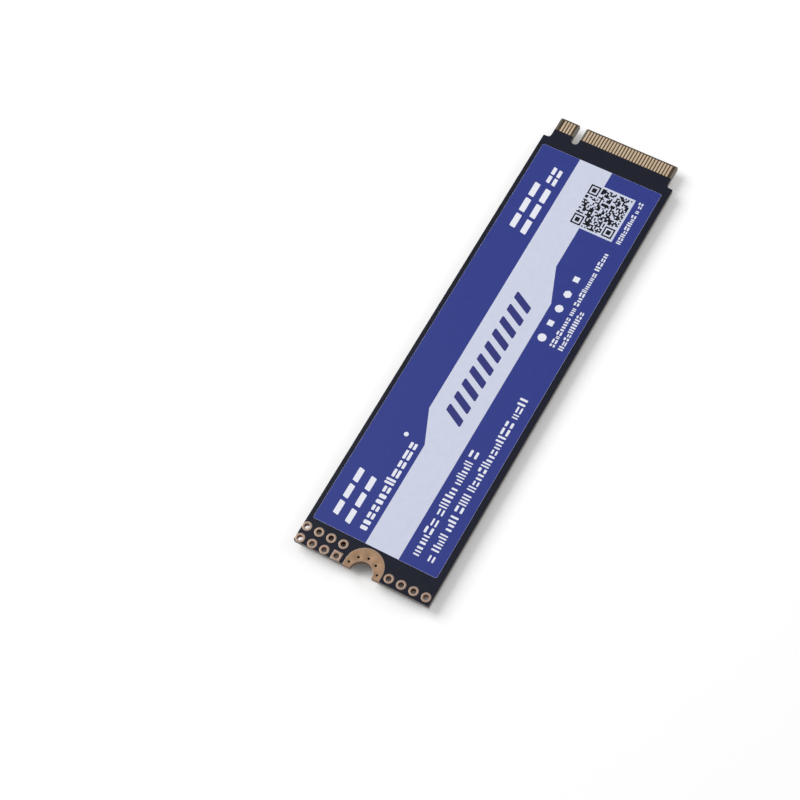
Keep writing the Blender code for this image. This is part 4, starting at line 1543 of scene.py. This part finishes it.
@dataclass
class ProductLabel:
    """The flat printed label on the card's upper face."""

    corner: float = 0.30
    film_rim: float = 0.03
    soft: float = 0.015
    seed: int = 22
    band_near: Point = (-1.6, 3.8)
    band_far: Point = (-3.9, 1.55)
    left_step: Point = (-18.5, -13.0)
    right_step: Point = (10.3, 16.2)
    stripes: BlockRow = BlockRow(-1.60, -13.8, 1.55, 10.0, count=10, lean=1.7, gap=1.05)
    heading: BlockRow = BlockRow(-8.15, -34.3, -5.05, -25.8, count=3, lean=0.6, gap=0.6, bars=2, bar_gap=1.5)
    text_rows: tuple[MarkRow, ...] = (
        MarkRow(-4.15, -34.1, -2.42, -18.9, words=1, bar=0.40),
        MarkRow(4.63, -34.05, 6.08, -16.0, words=4, bar=0.31),
        MarkRow(6.94, -34.05, 8.35, -5.4, words=6, bar=0.32),
        MarkRow(6.70, 4.0, 7.60, 21.5, words=4),
        MarkRow(8.06, 4.0, 8.96, 11.06, words=1),
        MarkRow(7.48, 23.8, 8.30, 31.7, words=3),
    )
    far_blocks: tuple[BlockRow, ...] = (
        BlockRow(-8.10, 18.9, -5.17, 27.9, count=3, lean=0.5, gap=0.55, bars=2, bar_gap=1.1),
        BlockRow(-6.75, 28.35, -5.17, 31.5, count=2, lean=0.25, gap=0.3, bars=2, bar_gap=0.7),
    )
    dot: Point = (-4.8, -18.2)
    dot_radius: float = 0.36
    round_sides: int = 24
    badge_x: float = 5.25
    badge_radius: float = 0.66
    badges: tuple[tuple[float, int], ...] = ((4.7, 24), (7.4, 4), (10.1, 8), (12.8, 6), (15.6, 4))
    code: PrintArea = PrintArea(-0.27, 24.0, 6.60, 31.4)
    code_margin: float = 0.34
    code_cells: int = 29
    code_dark: float = 0.57
    corner_cells: int = 7
    box: Box = field(default_factory=lambda: Box.of("product_label"))

    def build(self) -> None:
        """Make the film with its ink, as one flat sheet."""
        low, high = self.box.low.z, self.box.high.z
        outline = eased(self.box.plan(), self.corner)
        inked = eased(self.box.plan(self.film_rim), self.corner - self.film_rim)
        margin, code = self.code_margin, self.code
        blank = rectangle(code.left - margin, code.near - margin, code.right + margin, code.far + margin)
        rng = random.Random(self.seed)
        fields = (
            (Ink.CUT, [outline]),
            (Ink.BLUE, [inked]),
            (Ink.NONE, [self.band(), blank]),
            (Ink.WHITE, self.white_marks(rng)),
            (Ink.DEEP_BLUE, self.stripes.loops()),
            (Ink.BLACK, self.code_runs(rng)),
        )
        inks = list(Ink)
        regions = [(inks.index(ink), loops) for ink, loops in fields]
        form = Form()
        form.sheet(outline, low, high, (), regions, wall_finish=inks.index(Ink.CUT))
        form.soften(high, self.soft)
        mesh = form.mesh("label_sheet", [ink.value for ink in inks])
        add_piece("label_sheet", mesh, ["product_label"])

    def band(self) -> Loop:
        """Return the pale band that runs down the label, stepped once on each side.

        Returns:
            The band's outline, counterclockwise.
        """
        near, far = self.box.low.y, self.box.high.y
        near_left, near_right = self.band_near
        far_left, far_right = self.band_far
        right_starts, right_ends = self.right_step
        left_starts, left_ends = self.left_step
        return [
            (near_left, near),
            (near_right, near),
            (near_right, right_starts),
            (far_right, right_ends),
            (far_right, far),
            (far_left, far),
            (far_left, left_ends),
            (near_left, left_starts),
        ]

    def white_marks(self, rng: random.Random) -> list[Loop]:
        """Return every white mark on the blue fields.

        Args:
            rng: the source of the text rows' marks.

        Returns:
            The marks' outlines.
        """
        loops = self.heading.loops()
        for row in self.text_rows:
            loops += row.loops(rng)
        for row in self.far_blocks:
            loops += row.loops()
        loops.append(circle(*self.dot, self.dot_radius, self.round_sides))
        return loops + [circle(self.badge_x, y, self.badge_radius, sides) for y, sides in self.badges]

    def dark_cells(self, rng: random.Random) -> set[tuple[int, int]]:
        """Return the dark cells of a random square field with a plain frame in three corners.

        Args:
            rng: the source of the cells.

        Returns:
            The cells' column and row.
        """
        count, frame_cells = self.code_cells, self.corner_cells
        dark = {(i, j) for i in range(count) for j in range(count) if rng.random() < self.code_dark}
        last, middle = count - frame_cells, frame_cells // 2
        for corner_x, corner_y in ((0, 0), (0, last), (last, 0)):
            for i in range(-1, frame_cells + 1):
                for j in range(-1, frame_cells + 1):
                    cell = (corner_x + i, corner_y + j)
                    dark.discard(cell)
                    if max(abs(i - middle), abs(j - middle)) in (0, 1, middle):
                        dark.add(cell)
        return dark

    def code_runs(self, rng: random.Random) -> list[Loop]:
        """Return the dark cells of the code, joined along the card.

        Args:
            rng: the source of the cells.

        Returns:
            The outlines of the joined cells.
        """
        code, count, dark = self.code, self.code_cells, self.dark_cells(rng)
        step_x, step_y = code.rise / count, code.length / count
        loops: list[Loop] = []
        for i in range(count):
            start: int | None = None
            for j in range(count + 1):
                if (i, j) in dark:
                    start = j if start is None else start
                elif start is not None:
                    left, near = code.left + i * step_x, code.near + start * step_y
                    loops.append(rectangle(left, near, left + step_x, code.near + j * step_y))
                    start = None
        return loops


@dataclass(frozen=True)
class LaserMarks:
    """The laser marks of a package: a dot beside its first contact, and rows of plain marks.

    The rows run to the package's inset, or else take a share of its width that falls from row to row.
    """

    dot_radius: float
    dot_sides: int
    inset: float
    drop: float
    pitch: float
    tall: float
    words: int
    indent: float = 0.0
    rows: int = 3
    bar: float = 0.36
    length: float | None = None
    length_loss: float = 0.0

    def loops(self, node: str, box: Box) -> list[Loop]:
        """Return the marks of one package.

        Args:
            node: the package's node, which also seeds the marks.
            box: its box.

        Returns:
            The marks' outlines, with the rows running across the card.
        """
        near, far = box.low.x + self.inset, box.high.y - self.inset
        loops = [circle(near, far, self.dot_radius, self.dot_sides)]
        rng = random.Random(node)
        start = near + self.indent
        for row in range(self.rows):
            head = far - self.drop - row * self.pitch
            end = box.high.x - self.inset
            if self.length is not None:
                end = start + box.size.x * (self.length - self.length_loss * row)
            marks = MarkRow(-head, start, -head + self.tall, end, self.words, self.bar).loops(rng)
            loops += [[(y, -x) for x, y in loop] for loop in marks]
        return loops


@dataclass
class BallPackage:
    """A chip package on solder balls, whose moulded face looks down."""

    node: str
    pitch: float
    standoff: float = 0.20
    substrate: float = 0.22
    step: float = 0.01
    ball_radius: float = 0.20
    ball_neck: float = 0.13
    ball_belly: float = 0.4
    ball_sides: int = 12
    soft: float = 0.045
    marks: LaserMarks = LaserMarks(
        dot_radius=0.40, dot_sides=32, inset=1.10, drop=1.6, pitch=1.5, tall=0.75, words=2,
        indent=1.1, length=0.55, length_loss=0.12,
    )
    slot: str = "moulded_epoxy"

    def build(self) -> None:
        """Build the package: moulding, substrate, balls and its laser marks."""
        box = Box.of(self.node)
        finishes = (Palette.epoxy, Palette.substrate, Palette.solder, Palette.laser)
        _, base, ball, mark = range(len(finishes))
        under = box.high.z - self.standoff
        join = under - self.substrate
        plan = box.plan()
        form = Form()
        form.prism(plan, join, under, base)
        moulding = moved(plan, self.step)
        form.sheet(moulding, box.low.z, join, (), [(mark, self.marks.loops(self.node, box))])
        form.soften(box.low.z, self.soft)
        columns, rows = (int((side - self.pitch) / self.pitch) for side in (box.size.x, box.size.y))
        profile = self.ball_profile(under, box.high.z)
        for i, x in enumerate(evenly(columns, self.pitch, box.centre.x)):
            for j, y in enumerate(evenly(rows, self.pitch, box.centre.y)):
                if i in (0, columns - 1) or j in (0, rows - 1):
                    form.lathe(x, y, profile, self.ball_sides, ball)
        add_piece(f"{self.node}_package", form.mesh(self.node, finishes), [self.node])

    def ball_profile(self, under: float, seat: float) -> list[Point]:
        """Return the side of a solder ball, as radius and height.

        Args:
            under: height of the package's underside.
            seat: height of the card's face.

        Returns:
            The profile's points.
        """
        middle = self.standoff / 2
        low, high = (under + middle * (1 + bend) for bend in (-self.ball_belly, self.ball_belly))
        neck, belly = self.ball_neck, self.ball_radius
        return [(neck, under), (belly, low), (belly, high), (neck, seat)]


@dataclass
class ChipPart:
    """A chip capacitor or resistor with tinned ends and solder at each of them."""

    prefix: str
    count: int
    digits: int = 1
    band: float = 0.25
    is_resistor: bool = False
    fillet: float = 0.14
    fillet_steps: int = 5
    toe: float = 0.04
    climb: float = 0.60
    waist: float = 0.015
    tuck: float = 0.05
    body_soft: float = 0.02
    glaze_corner: float = 0.04
    glaze_rim: float = 0.008
    end_soft: float = 0.07
    soft_share: float = 0.2

    @property
    def nodes(self) -> list[str]:
        """Return the names of the parts of this kind."""
        return [f"{self.prefix}_{i:0{self.digits}d}" for i in range(1, self.count + 1)]

    def mesh(self, length: float, width: float, height: float) -> bpy.types.Mesh:
        """Return the part's mesh, running along X and hanging below zero.

        Args:
            length: the part's length without its solder.
            width: its width.
            height: how far it reaches down.

        Returns:
            The shared mesh of all parts of this kind.
        """
        kind = Palette.alumina if self.is_resistor else Palette.ceramic
        finishes = (kind, Palette.tin, Palette.solder, Palette.resistor)
        body, cap, solder, glaze = range(len(finishes))
        end, half, waist = length / 2, width / 2, self.waist
        inner = end - self.band
        reach = inner + self.tuck
        form = Form()
        low, high = (-reach, waist - half, waist - height), (reach, half - waist, -waist)
        form.block(low, high, self.body_soft, body)
        if self.is_resistor:
            plan = rounded_box(-inner, waist - half, inner, half - waist, self.glaze_corner)
            form.prism(plan, -height, waist - height, glaze, rim_low=self.glaze_rim)
        soft = min(self.end_soft, height * self.soft_share)
        turns = [i / self.fillet_steps for i in range(self.fillet_steps + 1)]
        rise = self.climb * height - self.toe
        curve = [(end + self.fillet * (1 - t), -self.toe - rise * t * t) for t in turns]
        profile = [(end - soft, 0.0), (end + self.fillet, 0.0), *curve, (end - soft, curve[-1][1])]
        edge = half - soft / 2
        for side in SIDES:
            near, far = sorted((side * inner, side * end))
            form.block((near, -half, -height), (far, half, 0.0), soft, cap)
            form.loft([[(side * x, y, z) for x, z in profile] for y in (-edge, edge)], solder)
        return form.mesh(self.prefix, finishes)

    def build(self) -> None:
        """Set the part at each of its places."""
        shared: bpy.types.Mesh | None = None
        for node in self.nodes:
            box = Box.of(node)
            length, width = sorted((box.size.x, box.size.y), reverse=True)
            shared = shared or self.mesh(length - 2 * self.fillet, width, box.size.z)
            turn = QUARTER_TURN if box.size.y > box.size.x else 0.0
            place = (box.centre.x, box.centre.y, box.high.z)
            add_piece(f"{node}_chip", shared, [node], place, turn)


@dataclass
class PowerInductor:
    """A moulded inductor with a terminal folded under each end."""

    count: int = 3
    corner: float = 0.25
    lower_soft: float = 0.10
    upper_soft: float = 0.03
    foot: float = 0.06
    foot_length: float = 0.60
    foot_inset: float = 0.01
    foot_margin: float = 0.12
    foot_soft: float = 0.02
    strip: float = 0.04
    strip_margin: float = 0.35
    strip_share: float = 0.45
    strip_drop: float = 0.02
    strip_soft: float = 0.015

    def build(self) -> None:
        """Build every inductor on one shared mesh."""
        shared: bpy.types.Mesh | None = None
        for i in range(1, self.count + 1):
            node = f"power_inductor_{i}"
            box = Box.of(node)
            shared = shared or self.mesh(box.size.y, box.size.x, box.size.z)
            place = (box.centre.x, box.centre.y, box.high.z)
            add_piece(f"{node}_block", shared, [node], place, QUARTER_TURN)

    def mesh(self, length: float, width: float, height: float) -> bpy.types.Mesh:
        """Return the inductor's mesh, running along X and hanging below zero.

        Args:
            length: the inductor's length.
            width: its width.
            height: how far it reaches down.

        Returns:
            The shared mesh of all inductors.
        """
        finishes = (Palette.powder, Palette.tin)
        block, metal = range(len(finishes))
        x, y = length / 2, width / 2
        plan = rounded_box(-x, -y, x, y, self.corner)
        form = Form()
        form.prism(plan, -height, -self.foot, block, rim_low=self.lower_soft, rim_high=self.upper_soft)
        foot_y, strip_y = y - self.foot_margin, y - self.strip_margin
        foot_low, strip_low = -self.foot - self.foot_inset, -self.strip_share * height
        for side in SIDES:
            near, far = sorted((side * (x - self.foot_length), side * (x - self.foot_inset)))
            form.block((near, -foot_y, foot_low), (far, foot_y, 0.0), self.foot_soft, metal)
            near, far = sorted((side * (x - self.strip), side * x))
            form.block((near, -strip_y, strip_low), (far, strip_y, -self.strip_drop), self.strip_soft, metal)
        return form.mesh("power_inductor", finishes)


@dataclass
class ClockCrystal:
    """A crystal in a ceramic tray under a seam-welded metal lid."""

    node: str = "clock_crystal"
    corner: float = 0.20
    tray_soft: float = 0.02
    pad: float = 0.04
    pad_inset: Point = (0.42, 0.48)
    pad_size: Point = (0.55, 0.65)
    lid_height: float = 0.12
    lid_inset: float = 0.16
    lid_raise: float = 0.035
    rim_soft: float = 0.02
    lid_soft: float = 0.015
    seam: float = 0.14

    def build(self) -> None:
        """Build the tray, its hollowed corners, the pads and the lid."""
        box = Box.of(self.node)
        finishes = (Palette.tray, Palette.lid, Palette.solder)
        ceramic, metal, solder = range(len(finishes))
        low, high = box.low.z, box.high.z
        tray: Loop = []
        for i, (x, y) in enumerate(box.plan()):
            tray += arc(x, y, self.corner, (i + 1) * QUARTER_TURN, i * QUARTER_TURN)
        lid = eased(box.plan(self.lid_inset), self.corner)
        rim, face = low + self.lid_height, low + self.lid_raise
        form = Form()
        form.prism(tray, rim, high - self.pad, ceramic, rim_low=self.tray_soft)
        form.prism(lid, face, rim, metal, rim_low=self.rim_soft)
        form.prism(moved(lid, self.seam), low, face, metal, rim_low=self.lid_soft)
        for side_x, side_y in CORNERS:
            x = box.centre.x + side_x * (box.size.x / 2 - self.pad_inset[0])
            y = box.centre.y + side_y * (box.size.y / 2 - self.pad_inset[1])
            form.prism(centred(x, y, *self.pad_size), high - self.pad, high, solder)
        add_piece("clock_crystal_can", form.mesh(self.node, finishes), [self.node])


@dataclass
class LoadSwitch:
    """A small moulded package with three bent leads a side."""

    node: str = "load_switch"
    body_width: float = 1.6
    body_height: float = 0.95
    body_corner: float = 0.13
    body_soft: float = 0.03
    seam: float = 0.02
    taper: float = 0.08
    standoff: float = 0.08
    mark_inset: float = 0.42
    mark_radius: float = 0.14
    mark_sides: int = 20
    mark_rise: float = 0.003
    mark_tuck: float = 0.01
    leads: int = 3
    lead_pitch: float = 0.95
    lead_width: float = 0.40
    lead_thickness: float = 0.14
    shank: float = 0.18
    slope: float = 0.10
    foot: float = 0.34
    bend: float = 0.06
    bend_in: float = 0.4
    bend_out: float = 0.3

    def build(self) -> None:
        """Build the body and its leads."""
        box = Box.of(self.node)
        finishes = (Palette.epoxy, Palette.tin, Palette.laser)
        body, metal, laser = range(len(finishes))
        x, y = box.centre.x, box.centre.y
        top = box.high.z - self.standoff
        bottom = top - self.body_height
        middle = (top + bottom) / 2
        half_x, half_y = box.size.x / 2, self.body_width / 2
        plan = rounded_box(x - half_x, y - half_y, x + half_x, y + half_y, self.body_corner)
        levels = (
            (top, self.taper),
            (middle + self.seam, 0.0),
            (middle - self.seam, 0.0),
            (bottom + self.body_soft, self.taper),
            (bottom, self.taper + self.body_soft),
        )
        form = Form()
        form.loft([[(px, py, z) for px, py in moved(plan, inward)] for z, inward in levels], body)
        mark_x, mark_y = x - half_x + self.mark_inset, y + half_y - self.mark_inset
        mark = circle(mark_x, mark_y, self.mark_radius, self.mark_sides)
        form.prism(mark, bottom - self.mark_rise, bottom + self.mark_tuck, laser)
        for side in SIDES:
            profile = [(y + side * out, z) for out, z in self.lead_profile(half_y, middle, box.high.z)]
            for lead_x in evenly(self.leads, self.lead_pitch, x):
                ends = (lead_x - self.lead_width / 2, lead_x + self.lead_width / 2)
                form.loft([[(end, py, z) for py, z in profile] for end in ends], metal)
        add_piece("load_switch_package", form.mesh(self.node, finishes), [self.node])

    def lead_profile(self, start: float, middle: float, seat: float) -> Loop:
        """Return the side outline of one bent lead.

        Args:
            start: how far out the body's side lies.
            middle: height of the lead where it leaves the body.
            seat: height of the face that its foot stands on.

        Returns:
            The outline, as distance out and height.
        """
        foot_z = seat - self.lead_thickness / 2
        knee = start + self.shank
        heel = knee + self.slope
        bend = self.bend
        path = [
            (start - self.shank, middle),
            (knee - bend, middle),
            (knee, middle + bend * self.bend_in),
            (knee + bend * self.bend_out, middle + bend),
            (heel - bend * self.bend_out, foot_z - bend),
            (heel, foot_z - bend * self.bend_in),
            (heel + bend, foot_z),
            (heel + self.foot, foot_z),
        ]
        return ribbon(path, self.lead_thickness)


@dataclass
class PowerChip:
    """The leadless power chip, with tinned lands along each side."""

    node: str = "power_management_chip"
    step: float = 0.004
    soft: float = 0.03
    lands: int = 6
    land_height: float = 0.04
    land_pitch: float = 0.50
    land_width: float = 0.25
    land_length: float = 0.40
    land_climb: float = 0.16
    marks: LaserMarks = LaserMarks(
        dot_radius=0.20, dot_sides=24, inset=0.55, drop=0.8, pitch=0.75, tall=0.42, words=1
    )

    def build(self) -> None:
        """Build the body, its lands and its laser marks."""
        box = Box.of(self.node)
        finishes = (Palette.epoxy, Palette.tin, Palette.laser)
        _, land, mark = range(len(finishes))
        x, y = box.centre.x, box.centre.y
        seat = box.high.z - self.land_height
        form = Form()
        body = moved(box.plan(), self.step)
        form.sheet(body, box.low.z, seat, (), [(mark, self.marks.loops(self.node, box))])
        form.soften(box.low.z, self.soft)
        width, length = self.land_width, self.land_length
        reach = box.size.x / 2 - length / 2
        for offset in evenly(self.lands, self.land_pitch):
            for side in SIDES:
                across = centred(x + offset, y + side * reach, width, length)
                along = centred(x + side * reach, y + offset, length, width)
                for loop in (across, along):
                    form.prism(loop, seat - self.land_climb, box.high.z, land)
        add_piece("power_chip_package", form.mesh(self.node, finishes), [self.node])


@dataclass
class LowerFaceDetails:
    """Solder lands and white outlines around the parts on the lower face."""

    board: CircuitBoard
    parts: Sequence[ChipPart]
    land_rise: float = 0.009
    land_growth: float = 0.07
    legend_rise: float = 0.008
    line: float = 0.13
    arms: dict[str, float] = field(
        default_factory=lambda: {"storage_controller": 1.6, "flash_memory_1": 2.0, "flash_memory_2": 2.0}
    )
    clearance: float = 0.22
    dot_radius: float = 0.20
    dot_sides: int = 20
    dot_reach: float = 0.75

    def build(self) -> None:
        """Build the lands and the outlines."""
        self.build_layer("solder_lands", self.lands(), self.land_rise, Palette.solder)
        self.build_layer("legend_lines", self.legend(), self.legend_rise, Palette.silk)

    def build_layer(self, name: str, loops: Iterable[Loop], rise: float, finish: Finish) -> None:
        """Raise flat shapes on the lower face's solder mask.

        Args:
            name: the piece's name.
            loops: the shapes' outlines.
            rise: how far they rise from the mask.
            finish: their finish.
        """
        start = self.board.mask_thickness
        low, high = self.board.span(Face.LOWER, start + rise, start)
        form = Form()
        for loop in loops:
            form.prism(loop, low, high)
        add_piece(name, form.mesh(name, [finish]))

    def lands(self) -> list[Loop]:
        """Return the two lands that show beyond the solder of every chip part.

        Returns:
            The lands' outlines.
        """
        grow = self.land_growth
        loops: list[Loop] = []
        for part in self.parts:
            deep = part.band + part.fillet + grow
            for box in map(Box.of, part.nodes):
                centre, size = box.centre, box.size
                for side in SIDES:
                    if size.x > size.y:
                        x = centre.x + side * (size.x / 2 + grow - deep / 2)
                        loops.append(centred(x, centre.y, deep, size.y + grow))
                    else:
                        y = centre.y + side * (size.y / 2 + grow - deep / 2)
                        loops.append(centred(centre.x, y, size.x + grow, deep))
        return loops

    def legend(self) -> list[Loop]:
        """Return corner angles around each package and a dot beside its first pin, where there is room.

        Returns:
            The outlines of the angles and dots.
        """
        loops: list[Loop] = []
        for node, arm in self.arms.items():
            box = Box.of(node)
            reach_x, reach_y = box.size.x / 2 + self.clearance, box.size.y / 2 + self.clearance
            for side_x, side_y in CORNERS:
                x, y = box.centre.x + side_x * reach_x, box.centre.y + side_y * reach_y
                path = [(x - side_x * arm, y), (x, y), (x, y - side_y * arm)]
                middles = [((a + c) / 2, (b + d) / 2) for (a, b), (c, d) in zip(path, path[1:])]
                if all(is_clear(*place, self.line, (node,)) for place in (*path, *middles)):
                    loops.append(ribbon(path, self.line))
            dot = (box.low.x - self.dot_reach, box.high.y - self.dot_reach)
            if is_clear(*dot, self.dot_radius, (node,)):
                loops.append(circle(*dot, self.dot_radius, self.dot_sides))
        return loops


def seen_rays(graph: Graph) -> Socket:
    """Return 1 on rays of the camera and those that gloss or glass sends on.

    Args:
        graph: the nodes of the floor or of the world.

    Returns:
        The switch.
    """
    path = graph.add("LightPath").outputs
    gloss = graph.math("MAXIMUM", path["Is Camera Ray"], path["Is Glossy Ray"])
    return graph.math("MAXIMUM", gloss, path["Is Transmission Ray"])


@dataclass(frozen=True)
class FloorFinish:
    """The pale floor, lifted to white where it is seen, but held back under the card, which paints a shadow
    there.
    """

    name: str = "studio floor"
    colour: Colour = (0.85, 0.85, 0.85)
    roughness: float = 0.9
    near_lift: float = 0.19
    far_lift: float = 0.64
    lift_span: Point = (120.0, 450.0)
    painted_shadow_x: Point = (-11.0, 11.0)
    painted_shadow_y: Point = (-40.0, 36.0)
    painted_shadow_soft: float = 1.0

    def material(self) -> bpy.types.Material:
        """Return the floor's material.

        Returns:
            The material.
        """
        material, graph, shader = new_material(self.name)
        shader["Base Color"].default_value = (*self.colour, 1.0)
        shader["Roughness"].default_value = self.roughness
        shader["Specular IOR Level"].default_value = 0.0
        shader["Emission Color"].default_value = (*WHITE, 1.0)
        place = graph.place()
        reach = graph.add("VectorMath", {0: place}, operation="LENGTH").outputs["Value"]
        share = graph.ramp(reach, *(end * MM for end in self.lift_span))
        lift = graph.math("MULTIPLY_ADD", share, self.far_lift - self.near_lift, self.near_lift)
        # The lift is held back under the card: a painted shadow there.
        lift = graph.math("MULTIPLY", lift, self.outside_painted_shadow(graph, place))
        graph.feed(shader["Emission Strength"], graph.math("MULTIPLY", seen_rays(graph), lift))
        return material

    def outside_painted_shadow(self, graph: Graph, place: Socket) -> Socket:
        """Return 0 well under the card, where the floor's painted shadow lies, and 1 on the open floor.

        Args:
            graph: the floor's nodes.
            place: the place on the floor.

        Returns:
            The share of open floor, outside the painted shadow.
        """
        axes = graph.axes(place)
        outside: list[Socket] = []
        for axis, span in (("X", self.painted_shadow_x), ("Y", self.painted_shadow_y)):
            low, high = (side * MM for side in span)
            outside.append(graph.math("SUBTRACT", low, axes[axis]))
            outside.append(graph.math("SUBTRACT", axes[axis], high))
        furthest, *others = outside
        for distance in others:
            furthest = graph.math("MAXIMUM", furthest, distance)
        return graph.ramp(furthest, -self.painted_shadow_soft * MM, 0.0)


@dataclass(frozen=True)
class Lamp:
    """A square soft lamp that points at the drive."""

    name: str
    place: Place
    side: float
    power: float

    def build(self) -> None:
        """Hang the lamp."""
        lamp = bpy.data.lights.new(self.name, "AREA")
        lamp.shape = "SQUARE"
        lamp.size = self.side * MM
        lamp.energy = self.power
        holder = put_in_scene(self.name, lamp)
        holder.location = Vector(self.place) * MM
        holder.rotation_euler = (-Vector(self.place)).to_track_quat("-Z", "Y").to_euler()


@dataclass
class Studio:
    """The floor, the soft lamps, the world and the camera."""

    picture: int = 800
    sensor: float = 36.0
    focal_pixels: float = 2341.42
    eye: Place = (85.102, -134.490, 307.033)
    aim_degrees: Place = (26.2808, 4.1619, 29.3872)
    clip_span: Point = (0.01, 20.0)
    floor_side: float = 3000.0
    floor_depth: float = 20.0
    floor: FloorFinish = FloorFinish()
    sky: float = 0.42
    lamps: tuple[Lamp, ...] = (
        Lamp("key_lamp", (-430.0, 20.0, 430.0), side=420.0, power=3.0),
        Lamp("side_lamp", (420.0, 330.0, 300.0), side=360.0, power=0.8),
    )

    def build(self) -> None:
        """Build the whole stage."""
        self.build_floor()
        self.build_world()
        for lamp in self.lamps:
            lamp.build()
        self.build_camera()
        bpy.context.scene.view_settings.view_transform = "Standard"

    def build_floor(self) -> None:
        """Lay a wide pale floor that keeps the drive's shadow."""
        form = Form()
        form.prism(centred(0.0, 0.0, self.floor_side, self.floor_side), -self.floor_depth, 0.0)
        floor = put_in_scene("studio_floor", form.mesh("studio_floor", [self.floor]))

    def build_world(self) -> None:
        """Light the scene evenly, and show white where the world is seen."""
        world = bpy.data.worlds.new("studio")
        bpy.context.scene.world = world
        world.use_nodes = True
        graph = Graph(world.node_tree)
        sky = graph.math("MULTIPLY_ADD", seen_rays(graph), 1.0 - self.sky, self.sky)
        background = world.node_tree.nodes["Background"].inputs
        background["Color"].default_value = (*WHITE, 1.0)
        graph.feed(background["Strength"], sky)

    def build_camera(self) -> None:
        """Set the camera where the photograph's stood, seen from the card."""
        data = bpy.data.cameras.new("camera")
        data.sensor_width = self.sensor
        data.lens = self.sensor * self.focal_pixels / self.picture
        data.clip_start, data.clip_end = self.clip_span
        camera = put_in_scene("camera", data)
        camera.location = Vector(self.eye) * MM
        camera.rotation_euler = tuple(math.radians(a) for a in self.aim_degrees)
        bpy.context.scene.camera = camera


def main() -> None:
    """Build the drive and its stage, piece by piece."""
    logging.basicConfig(level=logging.INFO, format="%(name)s %(message)s")
    board = CircuitBoard(CardShape())
    chips = [
        ChipPart("input_capacitor", count=4, band=0.45),
        ChipPart("output_capacitor", count=6, band=0.35),
        ChipPart("link_capacitor", count=8),
        ChipPart("crystal_capacitor", count=2),
        ChipPart("decoupling_capacitor", count=18, digits=2),
        ChipPart("setting_resistor", count=6, is_resistor=True),
    ]
    packages = [BallPackage("storage_controller", pitch=0.65)]
    packages += [BallPackage(f"flash_memory_{i}", pitch=1.0) for i in (1, 2)]
    parts = [PowerInductor(), ClockCrystal(), LoadSwitch(), PowerChip(), LowerFaceDetails(board, chips)]
    for assembly in [board, CoveredTraces(board), ProductLabel(), *packages, *chips, *parts, Studio()]:
        LOG.info("building %s", type(assembly).__name__)
        assembly.build()


if __name__ == "__main__":
    main()
